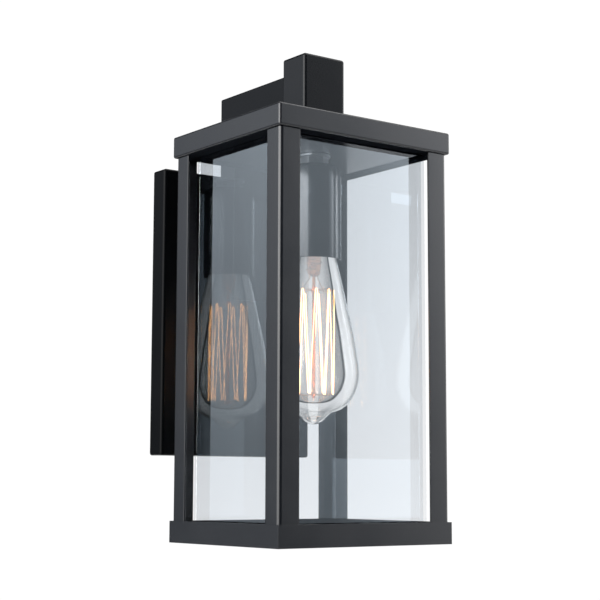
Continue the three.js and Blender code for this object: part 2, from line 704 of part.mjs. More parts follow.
function addTop() {
  const roofUnder = BODY_TOP_Z - ROOF_SHEET;
  const overhang = ROOF_SHEET + ROOF_SIDE_GAP;
  const nippleHole = (z0, z1) => lampBar(NIPPLE_RADIUS + HOLE_FIT, z0 - PAST, z1 + PAST);
  add(
    "roof_cap",
    cut(
      bodyPlan(-overhang, [SKIRT_BOTTOM_Z, BODY_TOP_Z]),
      bodyPlan(-ROOF_SIDE_GAP, [SKIRT_BOTTOM_Z - PAST, roofUnder]),
      nippleHole(roofUnder, BODY_TOP_Z),
    ),
    paint,
  );

  const groove = [PANE_INSET - FIT, PANE_INSET + PANE_THICKNESS + FIT];
  const grooveTop = SKIRT_BOTTOM_Z + GROOVE_DEPTH;
  add(
    "ceiling_tray",
    cut(
      joined(
        bodyPlan(0, [SKIRT_BOTTOM_Z, SKIRT_BOTTOM_Z + CEILING_SHEET]),
        frameRing(0, CEILING_SHEET, [SKIRT_BOTTOM_Z, roofUnder - FIT]),
        frameRing(
          groove[0] - CEILING_SHEET,
          groove[1] + CEILING_SHEET,
          [SKIRT_BOTTOM_Z, grooveTop + CEILING_SHEET],
        ),
      ),
      frameRing(groove[0], groove[1], [SKIRT_BOTTOM_Z - PAST, grooveTop]),
      nippleHole(SKIRT_BOTTOM_Z, SKIRT_BOTTOM_Z + CEILING_SHEET),
    ),
    paint,
  );

  const clampUnder = (name, under) => {
    const washerBottom = under - FIT - WASHER_THICKNESS;
    const nutTop = washerBottom - FIT;
    const bore = NIPPLE_RADIUS + HOLE_FIT;
    add(`${name}_washer`, ring(bore, WASHER_RADIUS, washerBottom, under - FIT), zincSteel);
    add(`${name}_nut`, ring(bore, hexRadius(NUT_FLATS), nutTop - NUT_THICKNESS, nutTop, 6), zincSteel);
  };
  clampUnder("roof", roofUnder);
  clampUnder("ceiling", SKIRT_BOTTOM_Z);

  add("threaded_nipple", ring(NIPPLE_BORE_RADIUS, NIPPLE_RADIUS, NIPPLE_BOTTOM_Z, NIPPLE_TOP_Z), zincSteel);
}

// ---- Lampholder -----------------------------------------------------------------------------

function addLampholder() {
  const arc = (centreRadius, centreZ, radius, steps) =>
    Array.from({ length: steps + 1 }, (_, i) => {
      const turn = (Math.PI / 2) * (i / steps);
      return [centreRadius + radius * Math.cos(turn), centreZ + radius * Math.sin(turn)];
    });
  const shoulderSteps = 4;
  const shoulderRadius = CUP_RADIUS - CUP_SHOULDER;
  const shoulderZ = CUP_TOP_Z - CUP_SHOULDER;
  const hole = NIPPLE_RADIUS + HOLE_FIT;
  add(
    "socket_cup",
    turned(
      [
        [CUP_RADIUS - CUP_SHEET, CUP_BOTTOM_Z],
        [CUP_RADIUS, CUP_BOTTOM_Z],
        ...arc(shoulderRadius, shoulderZ, CUP_SHOULDER, shoulderSteps),
        [hole, CUP_TOP_Z],
        [hole, CUP_TOP_Z - CUP_SHEET],
        ...arc(shoulderRadius, shoulderZ, CUP_SHOULDER - CUP_SHEET, shoulderSteps).reverse(),
        [CUP_RADIUS - CUP_SHEET, CUP_BOTTOM_Z],
      ],
      32,
    ),
    paint,
  );
  add(
    "cup_jam_nut",
    ring(hole, hexRadius(NUT_FLATS), JAM_NUT_BOTTOM_Z, JAM_NUT_BOTTOM_Z + JAM_NUT_THICKNESS, 6),
    zincSteel,
  );

  const plateZ = [BRACKET_TOP_Z - BRACKET_SHEET, BRACKET_TOP_Z];
  const leg = (side) =>
    box(
      across(BRACKET_WIDTH),
      across(BRACKET_SHEET, LAMP_Y + (side * (BRACKET_SPAN - BRACKET_SHEET)) / 2),
      [HOLDER_TOP_Z + FIT, BRACKET_TOP_Z],
    );
  add(
    "holder_bracket",
    cut(
      joined(
        box(across(BRACKET_WIDTH), across(BRACKET_SPAN, LAMP_Y), plateZ),
        lampBar(hole + BRACKET_SHEET, ...plateZ),
        leg(1),
        leg(-1),
      ),
      lampBar(hole, plateZ[0] - PAST, plateZ[1] + PAST),
    ),
    zincSteel,
  );

  const terminalHole = (side) =>
    bar(
      "z",
      TERMINAL_SHANK_RADIUS + HOLE_FIT,
      HOLDER_TOP_Z - TERMINAL_SHANK_LENGTH,
      HOLDER_TOP_Z + PAST,
      [side * TERMINAL_OUT, LAMP_Y, 0],
      12,
    );
  add(
    "lampholder_body",
    cut(
      lampBar(HOLDER_RADIUS, HOLDER_BOTTOM_Z, HOLDER_TOP_Z, 32),
      lampBar(SHELL_OUTER_RADIUS + FIT, HOLDER_BOTTOM_Z - PAST, HOLDER_SEAT_Z, 32),
      terminalHole(1),
      terminalHole(-1),
    ),
    porcelain,
  );
  for (const [side, outward] of sides) {
    const centre = [outward * TERMINAL_OUT, LAMP_Y, 0];
    const head = HOLDER_TOP_Z + FIT;
    add(
      `terminal_screw_${side}`,
      joined(
        bar("z", TERMINAL_HEAD_RADIUS, head, head + TERMINAL_HEAD_THICKNESS, centre),
        bar("z", TERMINAL_SHANK_RADIUS, head - TERMINAL_SHANK_LENGTH, head + FIT, centre, 12),
      ),
      nickelBrass,
    );
  }
  const shellTop = HOLDER_SEAT_Z - FIT;
  add(
    "screw_shell",
    cut(
      lampBar(SHELL_OUTER_RADIUS, shellTop - SHELL_LENGTH, shellTop, 32),
      lampBar(CAP_ROOM_RADIUS, shellTop - SHELL_LENGTH - PAST, shellTop + PAST, 32),
    ),
    nickelBrass,
  );
  add("centre_contact", lampBar(CONTACT_RADIUS, CONTACT_BOTTOM_Z, HOLDER_SEAT_Z - FIT, 16), nickelBrass);
}

// ---- Leads ----------------------------------------------------------------------------------

const WIRE_SIDES = 6;
const WIRE_STEPS = 64;
const EARTH_WIRE_STEPS = 20;

function addLeads() {
  const terminalEnd = TERMINAL_OUT - TERMINAL_HEAD_RADIUS - FIT;
  const leadZ = HOLDER_TOP_Z + FIT + LEAD_RADIUS + FIT;
  const tubeY = (TUBE_FRONT_Y + TUBE_REAR_Y) / 2;
  const routes = [
    ["live_lead", -1, blackSleeve],
    ["neutral_lead", 1, whiteSleeve],
  ];
  for (const [name, side, sleeve] of routes) {
    const x = (side * LEAD_SPACING) / 2;
    add(
      name,
      wire(
        [
          [side * terminalEnd, LAMP_Y, leadZ],
          [side * 4.6, LAMP_Y, leadZ + 0.4],
          [side * 2.2, LAMP_Y, leadZ + 2],
          [x, LAMP_Y, NIPPLE_BOTTOM_Z + 3],
          [x, LAMP_Y, NIPPLE_TOP_Z + 4],
          [x, LAMP_Y + 1.2, ARM_MIDDLE_Z - 6],
          [x, LAMP_Y + 6, ARM_MIDDLE_Z],
          [x, LAMP_Y + 14, ARM_MIDDLE_Z],
          [x, tubeY - 8, ARM_MIDDLE_Z],
          [x, tubeY - 1.5, ARM_MIDDLE_Z - 3],
          [x, tubeY, ARM_MIDDLE_Z - 12],
          [x, tubeY, GROMMET_Z + 14],
          [x, tubeY + 2, GROMMET_Z + 4],
          [x, tubeY + 8, GROMMET_Z],
          [x, -BACKPLATE_DEPTH + 4, GROMMET_Z - 1],
          [x, -BACKPLATE_DEPTH + 7, GROMMET_Z - 6],
          [x, -BACKPLATE_DEPTH + 7, GROMMET_Z - 16],
        ],
        LEAD_RADIUS,
        WIRE_SIDES,
        WIRE_STEPS,
      ),
      sleeve,
    );
  }
  const fromHead = hexRadius(GROUND_HEAD_FLATS) + FIT + LEAD_RADIUS;
  const toHead = TUBE_HEAD_RADIUS + FIT + LEAD_RADIUS;
  add(
    "earth_lead",
    wire(
      [
        [fromHead, -CROSSBAR_SHEET - FIT - LEAD_RADIUS, GROUND_SCREW_Z - 3],
        [fromHead + 1, -CROSSBAR_SHEET - 3, GROUND_SCREW_Z + 8],
        [fromHead + 4, -CROSSBAR_SHEET - 5, GROUND_SCREW_Z + 24],
        [fromHead + 2, -BACKPLATE_DEPTH + BACKPLATE_SHEET + 3, TUBE_SCREW_LOW_Z - 12],
        [toHead, -BACKPLATE_DEPTH + BACKPLATE_SHEET + 2, TUBE_SCREW_LOW_Z + 2],
      ],
      LEAD_RADIUS,
      WIRE_SIDES,
      EARTH_WIRE_STEPS,
    ),
    greenSleeve,
  );
}

// ---- Lamp -----------------------------------------------------------------------------------

function addLamp() {
  const capBottom = LAMP_LENGTH - CAP_LENGTH;
  const shellTop = LAMP_LENGTH - CAP_CONTACT_HEIGHT - CAP_INSULATOR_HEIGHT;
  const neckTop = shellTop - LAMP_NECK_END;
  const wider = LAMP_RADIUS / OUTLINE_RADIUS;
  const longer = capBottom / OUTLINE_HEIGHT;
  const outline = new THREE.SplineCurve([
    ...LAMP_OUTLINE.map(([radius, height]) => new THREE.Vector2(wider * radius, longer * height)),
    new THREE.Vector2(CAP_RADIUS - FIT, capBottom - FIT),
  ]);
  const samples = 26;
  const outer = outline.getPoints(samples).map((p) => [Math.max(p.x, 0), p.y]);
  const inner = outer.map(([radius, height], i) => {
    const tangent = outline.getTangent(i / samples);
    return [Math.max(radius - LAMP_WALL * tangent.y, 0), height + LAMP_WALL * tangent.x];
  });
  const neckInner = LAMP_NECK_RADIUS - LAMP_WALL;
  add(
    "bulb_envelope",
    turned(
      [
        ...outer.slice(0, -1),
        [outer[samples][0], capBottom - FIT],
        [LAMP_NECK_RADIUS, capBottom - FIT],
        [LAMP_NECK_RADIUS, neckTop],
        [neckInner, neckTop],
        [neckInner, capBottom - LAMP_NECK_SHOULDER],
        ...inner.slice(1, -1).reverse(),
        [0, LAMP_WALL],
      ],
      28,
      [0, LAMP_Y, LAMP_TIP_Z],
    ),
    lampGlass,
  );

  const up = (height) => LAMP_TIP_Z + height;
  add(
    "bulb_cap",
    cut(
      lampBar(CAP_RADIUS, up(capBottom), up(shellTop), 32),
      lampBar(LAMP_NECK_RADIUS + FIT, up(capBottom) - PAST, up(shellTop - CAP_SHEET), 32),
      lampBar(CAP_CONTACT_RADIUS, up(shellTop) - 2 * PAST, up(shellTop) + PAST),
    ),
    nickelBrass,
  );
  add(
    "bulb_insulator",
    turned(
      [
        [CAP_CONTACT_RADIUS + FIT, shellTop + FIT],
        [CAP_RADIUS - CAP_INSULATOR_INSET, shellTop + FIT],
        [CAP_CONTACT_RADIUS + CAP_INSULATOR_INSET, LAMP_LENGTH - CAP_CONTACT_HEIGHT],
        [CAP_CONTACT_RADIUS + FIT, LAMP_LENGTH - CAP_CONTACT_HEIGHT],
        [CAP_CONTACT_RADIUS + FIT, shellTop + FIT],
      ],
      24,
      [0, LAMP_Y, LAMP_TIP_Z],
    ),
    blackGlass,
  );
  add(
    "bulb_contact",
    turned(
      [
        [0, shellTop],
        [CAP_CONTACT_RADIUS, shellTop],
        [CAP_CONTACT_RADIUS, LAMP_LENGTH - CAP_CONTACT_HEIGHT],
        [CAP_CONTACT_RADIUS / 2, LAMP_LENGTH],
        [0, LAMP_LENGTH],
      ],
      16,
      [0, LAMP_Y, LAMP_TIP_Z],
    ),
    solder,
  );

  // The stem is a flared tube with a solid rod below it, which carries both wire hubs.
  add(
    "bulb_stem",
    turned(
      [
        [0, HUB_LOW - HUB_HEIGHT],
        [ROD_RADIUS, HUB_LOW - HUB_HEIGHT],
        [ROD_RADIUS, STEM_BOTTOM - STEM_TAPER],
        [STEM_END_RADIUS, STEM_BOTTOM],
        [STEM_RADIUS, STEM_BOTTOM + STEM_SHOULDER],
        [STEM_RADIUS, capBottom + FLARE_START],
        [neckInner - FIT, capBottom + FLARE_END],
        [neckInner - FIT, capBottom + FLARE_END + FLARE_RIM],
        [0, capBottom + FLARE_END + FLARE_RIM],
      ],
      16,
      [0, LAMP_Y, LAMP_TIP_Z],
    ),
    lampGlass,
  );

  const strands = 2 * CAGE_HAIRPINS;
  const armReach = CAGE_RADIUS - FILAMENT_RADIUS - FIT;
  const support = (height, first) => {
    const z = up(height);
    const arms = Array.from({ length: CAGE_HAIRPINS }, (_, i) =>
      bar("x", SUPPORT_WIRE_RADIUS, 0, armReach, [0, 0, 0], 6)
        .rotateZ((2 * Math.PI * (2 * i + first)) / strands)
        .translate(0, LAMP_Y, z),
    );
    const hub = lampBar(HUB_RADIUS, z - HUB_HEIGHT / 2, z + HUB_HEIGHT / 2, 12);
    const hole = lampBar(ROD_RADIUS + FIT, z - HUB_HEIGHT, z + HUB_HEIGHT, 12);
    return cut(joined(hub, ...arms), hole);
  };
  add("support_high", support(HUB_HIGH, 0), supportWire);
  add("support_low", support(HUB_LOW, 1), supportWire);

  const strandPoint = (i) => {
    const turn = (2 * Math.PI * i) / strands;
    const height = i % 2 === 0 ? HUB_HIGH : HUB_LOW;
    return [CAGE_RADIUS * Math.cos(turn), LAMP_Y + CAGE_RADIUS * Math.sin(turn), up(height)];
  };
  add(
    "filament",
    wire(Array.from({ length: strands }, (_, i) => strandPoint(i)), FILAMENT_RADIUS, 5, 10 * (strands - 1)),
    glowingWire,
  );
}

addWallBox();
addArm();
addBlock();
addTop();
addPosts();
addBase();
addPanes();
addLampholder();
addLeads();
addLamp();

export default lantern;
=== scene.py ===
import json
import math

import bmesh
import bpy
from mathutils import Matrix, Vector


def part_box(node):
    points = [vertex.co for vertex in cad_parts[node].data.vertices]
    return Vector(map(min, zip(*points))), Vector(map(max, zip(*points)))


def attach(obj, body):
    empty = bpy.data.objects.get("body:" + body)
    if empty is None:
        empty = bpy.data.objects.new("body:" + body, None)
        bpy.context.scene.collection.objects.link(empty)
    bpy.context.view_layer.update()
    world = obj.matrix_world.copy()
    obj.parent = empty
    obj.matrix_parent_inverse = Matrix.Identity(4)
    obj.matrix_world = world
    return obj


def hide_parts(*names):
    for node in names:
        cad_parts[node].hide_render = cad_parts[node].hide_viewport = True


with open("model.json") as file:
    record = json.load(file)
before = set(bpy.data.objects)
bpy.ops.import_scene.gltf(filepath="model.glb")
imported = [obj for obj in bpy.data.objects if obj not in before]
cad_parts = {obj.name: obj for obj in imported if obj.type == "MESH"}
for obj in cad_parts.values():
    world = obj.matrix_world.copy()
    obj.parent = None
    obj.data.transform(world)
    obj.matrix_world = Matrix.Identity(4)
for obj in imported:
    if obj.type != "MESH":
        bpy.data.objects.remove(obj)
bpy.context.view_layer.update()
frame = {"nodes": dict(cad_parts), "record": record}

# Outdoor wall lantern, in metres: the wall is the plane y = 0 and the lantern stands out along -Y.

MM = 0.001
LANTERN, LAMP = "lantern", "lamp"  # the two bodies that visible pieces ride on


def lamp_place():
    low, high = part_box("bulb_envelope")
    return (low.x + high.x) / 2, (low.y + high.y) / 2, low.z


LAMP_X, LAMP_Y, LAMP_TIP = lamp_place()


def middle(node):
    low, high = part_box(node)
    return (low + high) / 2


def over_tip(height):
    """The z of a height in millimetres over the lamp's tip."""
    return LAMP_TIP + height * MM


# ---- Camera and light -------------------------------------------------------------------------

CAMERA_AT = (-0.58428, -0.86922, -0.11721)
CAMERA_YAW = math.radians(36.74)
CAMERA_PITCH = math.radians(7.10)
CAMERA_ROLL = 0.003
LENS_MM = 88.88
SENSOR_MM = 36
NEAREST, FARTHEST = 0.05, 60

SOFTBOX_AT = (0.6, -0.9, 2.6)
SOFTBOX_AIM = (0.1, 0.2, -0.62)
SOFTBOX_SIDE = 3.2
SOFTBOX_WATTS = 90

# Brightness round the horizon, as (degrees from +X towards +Y, red, green, blue).
HORIZON = (
    (0, 0.12, 0.13, 0.15),
    (30, 0.12, 0.13, 0.15),
    (37, 1.03, 1.03, 1.03),
    (72, 1.03, 1.03, 1.03),
    (80, 0.2, 0.21, 0.23),
    (114, 0.2, 0.21, 0.23),
    (121, 0.52, 0.56, 0.62),
    (126, 1.15, 1.22, 1.32),
    (136, 1.4, 1.5, 1.6),
    (146, 8.0, 8.0, 8.0),
    (212, 8.0, 8.0, 8.0),
    (221, 0.05, 0.06, 0.08),
    (297, 0.04, 0.05, 0.07),
    (305, 0.74, 0.8, 0.87),
    (308, 0.9, 0.96, 1.04),
    (312, 2.0, 2.1, 2.25),
    (318, 4.6, 4.6, 4.7),
    (348, 5.0, 4.9, 4.9),
    (353, 0.3, 0.31, 0.33),
)
BRIGHTEST = 8.0  # a ramp holds 0 to 1, so the sky's strength makes up for it

# The share of that brightness that is left at each height, as (sine of the elevation, share).
HEIGHT = (
    (-1.0, 0.4),
    (-0.12, 0.42),
    (0.0, 0.5),
    (0.12, 0.8),
    (0.24, 1.08),
    (0.36, 1.1),
    (0.46, 0.15),
    (1.0, 0.2),
)
# The same for the white backdrop behind the lantern.
BACKDROP_HEIGHT = ((-1.0, 1.0), (0.36, 1.0), (0.46, 0.15), (1.0, 0.2))
# How far HEIGHT counts instead of BACKDROP_HEIGHT, as (degrees, share).
UNEVEN = ((0, 0.0), (84, 0.0), (112, 1.0), (346, 1.0), (358, 0.0))


def make_camera():
    data = bpy.data.cameras.new("camera")
    data.sensor_width = SENSOR_MM
    data.lens = LENS_MM
    data.clip_start, data.clip_end = NEAREST, FARTHEST
    camera = bpy.data.objects.new("camera", data)
    forward = Vector(
        (
            math.sin(CAMERA_YAW) * math.cos(CAMERA_PITCH),
            math.cos(CAMERA_YAW) * math.cos(CAMERA_PITCH),
            math.sin(CAMERA_PITCH),
        )
    )
    turn = forward.to_track_quat("-Z", "Y").to_matrix() @ Matrix.Rotation(CAMERA_ROLL, 3, "Z")
    camera.matrix_world = Matrix.Translation(CAMERA_AT) @ turn.to_4x4()
    bpy.context.scene.collection.objects.link(camera)
    bpy.context.scene.camera = camera


def make_softbox():
    data = bpy.data.lights.new("overhead", "AREA")
    data.shape = "RECTANGLE"
    data.size = data.size_y = SOFTBOX_SIDE
    data.energy = SOFTBOX_WATTS
    light = bpy.data.objects.new("overhead", data)
    light.location = SOFTBOX_AT
    light.rotation_mode = "QUATERNION"
    light.rotation_quaternion = (Vector(SOFTBOX_AIM) - Vector(SOFTBOX_AT)).to_track_quat("-Z", "Y")
    bpy.context.scene.collection.objects.link(light)


def grey(at, level, alpha=1):
    return at, level, level, level, alpha


def fill_ramp(ramp, stops):
    """stops are (place, red, green, blue, alpha), in order of place."""
    while len(ramp.elements) < len(stops):
        ramp.elements.new(0.5)
    for stop, (at, *colour) in zip(ramp.elements, stops):
        stop.position = at
        stop.color = colour


def make_world():
    world = bpy.data.worlds.new("studio")
    bpy.context.scene.world = world
    world.use_nodes = True
    tree = world.node_tree
    tree.nodes.clear()
    make, link = tree.nodes.new, tree.links.new

    def ramp(value, stops):
        made = make("ShaderNodeValToRGB")
        fill_ramp(made.color_ramp, stops)
        link(value, made.inputs[0])
        return made.outputs[0]

    split = make("ShaderNodeSeparateXYZ")
    link(make("ShaderNodeTexCoord").outputs["Generated"], split.inputs[0])
    angle = make("ShaderNodeMath")
    angle.operation = "ARCTAN2"
    link(split.outputs["Y"], angle.inputs[0])
    link(split.outputs["X"], angle.inputs[1])
    turns = make("ShaderNodeMath")
    turns.operation = "MULTIPLY_ADD"
    link(angle.outputs[0], turns.inputs[0])
    turns.inputs[1].default_value = 1 / (2 * math.pi)
    turns.inputs[2].default_value = 1
    part = make("ShaderNodeMath")
    part.operation = "FRACT"
    link(turns.outputs[0], part.inputs[0])
    around_us = part.outputs[0]
    rise = make("ShaderNodeMath")
    rise.operation = "MULTIPLY_ADD"
    link(split.outputs["Z"], rise.inputs[0])
    rise.inputs[1].default_value = rise.inputs[2].default_value = 0.5
    level = make("ShaderNodeMix")
    level.data_type = "RGBA"
    link(ramp(around_us, [grey(degrees / 360, share) for degrees, share in UNEVEN]), level.inputs["Factor"])
    for name, table in (("A", BACKDROP_HEIGHT), ("B", HEIGHT)):
        stops = [grey((sine + 1) / 2, share) for sine, share in table]
        link(ramp(rise.outputs[0], stops), level.inputs[name])
    sweep = [(degrees / 360, *(c / BRIGHTEST for c in colour), 1) for degrees, *colour in HORIZON]
    both = make("ShaderNodeVectorMath")
    both.operation = "MULTIPLY"
    link(ramp(around_us, sweep), both.inputs[0])
    link(level.outputs["Result"], both.inputs[1])
    back = make("ShaderNodeBackground")
    back.inputs["Strength"].default_value = BRIGHTEST
    link(both.outputs[0], back.inputs["Color"])
    link(back.outputs[0], make("ShaderNodeOutputWorld").inputs[0])


# ---- Materials --------------------------------------------------------------------------------


NOISE_ROUGHNESS = 0.55
BEVEL_SAMPLES = 4
EDGE_COSINES = (0.75, 0.99)  # of the angle between the true and the rounded normal, edge and flat


def times(colour, factor, more=0.0):
    return tuple(min(1, factor * c + more) for c in colour)


class Graph:
    """One material's nodes. Noise scales are in waves per metre of the object."""

    def __init__(self, name):
        self.material = bpy.data.materials.new(name)
        self.material.use_nodes = True
        self.tree = self.material.node_tree
        self.tree.nodes.clear()
        self.out = self.node("ShaderNodeOutputMaterial")
        self.place = self.node("ShaderNodeTexCoord").outputs["Object"]

    def node(self, kind, **settings):
        made = self.tree.nodes.new(kind)
        for key, value in settings.items():
            setattr(made, key, value)
        return made

    def feed(self, socket, value):
        """A colour or number goes on the socket itself, and an output is linked to it."""
        if isinstance(value, tuple):
            socket.default_value = (*value, 1)
        elif isinstance(value, (int, float)):
            socket.default_value = value
        else:
            self.tree.links.new(value, socket)

    def axes(self):
        made = self.node("ShaderNodeSeparateXYZ")
        self.feed(made.inputs[0], self.place)
        return made.outputs

    def entering(self):
        """1 where a ray goes into the glass and 0 where it comes out."""
        return self.math("SUBTRACT", 1, self.node("ShaderNodeNewGeometry").outputs["Backfacing"])

    def noise(self, scale, detail=3, stretch=None):
        made = self.node("ShaderNodeTexNoise")
        made.inputs["Scale"].default_value = scale
        made.inputs["Detail"].default_value = detail
        made.inputs["Roughness"].default_value = NOISE_ROUGHNESS
        if stretch is None:
            self.feed(made.inputs["Vector"], self.place)
        else:
            mapping = self.node("ShaderNodeMapping")
            mapping.inputs["Scale"].default_value = stretch
            self.feed(mapping.inputs["Vector"], self.place)
            self.feed(made.inputs["Vector"], mapping.outputs[0])
        return made.outputs["Fac"]

    def spread(self, value, low, high, start=0.3, end=0.7):
        """low where the value is start, and high where it is end."""
        made = self.node("ShaderNodeMapRange")
        made.inputs["From Min"].default_value = start
        made.inputs["From Max"].default_value = end
        made.inputs["To Min"].default_value = low
        made.inputs["To Max"].default_value = high
        self.feed(made.inputs["Value"], value)
        return made.outputs[0]

    def roughness(self, scale, middle, rougher, detail=3):
        """rougher is the (least, most) that the roughness differs from its middle."""
        least, most = rougher
        return self.spread(self.noise(scale, detail), middle + least, middle + most)

    def math(self, operation, a, b):
        made = self.node("ShaderNodeMath", operation=operation)
        for socket, value in zip(made.inputs, (a, b)):
            self.feed(socket, value)
        return made.outputs[0]

    def blend(self, factor, a, b, kind="MIX"):
        made = self.node("ShaderNodeMix", data_type="RGBA", blend_type=kind)
        for name, value in (("Factor", factor), ("A", a), ("B", b)):
            self.feed(made.inputs[name], value)
        return made.outputs["Result"]

    def mix(self, factor, a, b):
        made = self.node("ShaderNodeMixShader")
        for socket, value in zip(made.inputs, (factor, a, b)):
            self.feed(socket, value)
        return made.outputs[0]

    def edges(self, radius):
        """About 1 on worn edges and 0 on flats."""
        soft = self.node("ShaderNodeBevel", samples=BEVEL_SAMPLES)
        soft.inputs["Radius"].default_value = radius
        hard = self.node("ShaderNodeNewGeometry")
        dot = self.node("ShaderNodeVectorMath", operation="DOT_PRODUCT")
        self.feed(dot.inputs[0], soft.outputs[0])
        self.feed(dot.inputs[1], hard.outputs["Normal"])
        start, end = EDGE_COSINES
        return self.spread(dot.outputs["Value"], 1, 0, start, end)

    def bump(self, *layers):
        """layers are (height, depth, strength), the first one lowest."""
        normal = None
        for height, depth, strength in layers:
            made = self.node("ShaderNodeBump")
            made.inputs["Distance"].default_value = depth
            made.inputs["Strength"].default_value = strength
            self.feed(made.inputs["Height"], height)
            if normal is not None:
                self.feed(made.inputs["Normal"], normal)
            normal = made.outputs[0]
        return normal

    def principled(self, colour, roughness, normal, metallic=0.0, **plain):
        made = self.node("ShaderNodeBsdfPrincipled")
        wanted = {"Base Color": colour, "Roughness": roughness, "Metallic": metallic, "Normal": normal}
        wanted.update((key.replace("_", " "), value) for key, value in plain.items())
        for key, value in wanted.items():
            self.feed(made.inputs[key], value)
        return made.outputs[0]

    def done(self, shader):
        self.feed(self.out.inputs["Surface"], shader)
        return self.material


# Paint
PAINT_DARK = (0.004, 0.0045, 0.006)
PAINT_LIGHT = (0.0065, 0.0075, 0.0095)
CLOUD_SCALE = 28
SPECK_SCALE, SPECK_SHARE, SPECK_LIGHTER, SPECK_DEPTH = 2600, 0.2, 1.5, 0.008 * MM
WEAR_SCALE, WEAR_SHARE, WEAR_LIGHTER = 120, (0.1, 0.8), 1.8
EDGE_WEAR = 0.4 * MM  # width of the worn strip along an edge
PAINT_GLOSS_SCALE, PAINT_ROUGHER = 30, (-0.03, 0.04)
PEEL_SCALE, PEEL_DEPTH, PEEL_STRENGTH = 420, 0.03 * MM, 0.05

# Panes
PANE_IOR = 1.52
PANE_GLOSS = 2.75  # both faces of a pane mirror, and a little more than bare glass does
PANE_TINT = (0.88, 0.96, 1.0)
PANE_PASS_LOW, PANE_PASS_HIGH = (0.985, 0.992, 1.0), (0.895, 0.91, 0.925)  # at the bottom and the top
PANE_WIPE_SCALE, PANE_ROUGHNESS = 18, (0.012, 0.05)
PANE_RIPPLE_SCALE, PANE_RIPPLE_DEPTH, PANE_RIPPLE_STRENGTH = 9, 0.02 * MM, 0.25
DUST_SCALE, DUST_SHARE = 60, 0.012

# Lamp glass
LAMP_GLASS_IOR = 1.46
LAMP_GLASS_PASSES = 0.96  # share of the light that goes through into the shadow
LAMP_WIPE_SCALE, LAMP_GLASS_ROUGHNESS = 70, (0.0, 0.02)
LAMP_RIPPLE_SCALE, LAMP_RIPPLE_STRENGTH = 34, 0.35
# The painted glow over the lamp's glass is mottled between the two colours on the next line.
GLOW_MOTTLE_SCALE, GLOW_MOTTLE_DARK, GLOW_MOTTLE_LIGHT = 40, (0.92, 0.94, 0.97), (1.0, 1.0, 1.0)
TIP_GLOW = (6, 16)  # millimetres over the tip between which the glow comes up to its full share
TIP_GLOW_LEFT = 0.3  # the share of it that is left at the tip

# Filament
FILAMENT_DIM, FILAMENT_HOT = (1.0, 0.42, 0.14), (1.0, 0.52, 0.22)
HEAT_SCALE = 160
FILAMENT_STRENGTH_SCALE, FILAMENT_STRENGTH = 90, (8.0, 12.0)

# Bare metal
METAL_CLOUD_SCALE = 90
TARNISH_SCALE, TARNISH_SHARE, TARNISH_DARKER = 140, 0.35, 0.55
METAL_EDGE_WEAR = 0.3 * MM
METAL_WEAR_SHARE, METAL_WEAR_LIGHTER = 0.5, 1.25
METAL_GLOSS_SCALE, METAL_ROUGHER = 210, (-0.07, 0.1)
DRAWN_SCALE, DRAWN_STRETCH, DRAWN_DEPTH, DRAWN_STRENGTH = 900, (1, 1, 6), 0.05 * MM, 0.2

# Rubber, foam, porcelain, sleeves and the floor
GRAINS_PER_CLOUD = 6
GRAINS_PER_GLOSS = 3
DULL_WEAR_SHARE, DULL_WEAR_LIGHTER, DULL_WEAR_MORE = 0.4, 1.3, 0.01
DULL_ROUGHER = (-0.06, 0.08)
GRAIN_STRENGTH = 0.3

# Painted glow over the lamp's clear glass, which stands in for the lit lamp's light in it, by how far
# the glass turns from the eye (1 - cosine of the angle): brightness of the glow and its share at each
# crossing. The dip at 0.25 to 0.275 is a painted dark line and the rise at 0.3 a painted bright band.
GLOW_BY_FACING = (
    (0.0, 0.95, 0.4),
    (0.1, 0.9, 0.38),
    (0.15, 0.62, 0.34),
    (0.23, 0.5, 0.36),
    (0.25, 0.02, 0.66),
    (0.275, 0.02, 0.66),
    (0.3, 1.0, 0.56),
    (0.6, 0.98, 0.5),
    (0.72, 0.5, 0.4),
    (0.9, 0.35, 0.4),
)


def paint(name, dark, light, roughness, shine=0.5, lit=None):
    """lit is the (low, high) box that daylight reaches; outside it the paint doesn't shine, a painted shade.
    """
    g = Graph(name)
    speck = g.noise(SPECK_SCALE, detail=2)
    worn = g.math("MULTIPLY", g.edges(EDGE_WEAR), g.spread(g.noise(WEAR_SCALE), *WEAR_SHARE))
    base = g.blend(g.noise(CLOUD_SCALE, detail=4), dark, light)
    base = g.blend(g.spread(speck, 0, SPECK_SHARE), base, times(light, SPECK_LIGHTER))
    base = g.blend(worn, base, times(light, WEAR_LIGHTER))
    rough = g.roughness(PAINT_GLOSS_SCALE, roughness, PAINT_ROUGHER)
    peel = g.bump(
        (g.noise(PEEL_SCALE, detail=1), PEEL_DEPTH, PEEL_STRENGTH), (speck, SPECK_DEPTH, PEEL_STRENGTH)
    )
    # Painted shade: outside the lit box the paint's reflection is turned off.
    if lit is not None:
        low, high = lit
        across = g.axes()
        inside = [
            g.math(test, across[axis], getattr(edge, axis.lower()))
            for axis in ("X", "Y")
            for test, edge in (("GREATER_THAN", low), ("LESS_THAN", high))
        ]
        within = g.math("MULTIPLY", g.math("MULTIPLY", *inside[:2]), g.math("MULTIPLY", *inside[2:]))
        shine = g.math("MULTIPLY", within, shine)
    return g.done(g.principled(base, rough, peel, Specular_IOR_Level=shine))


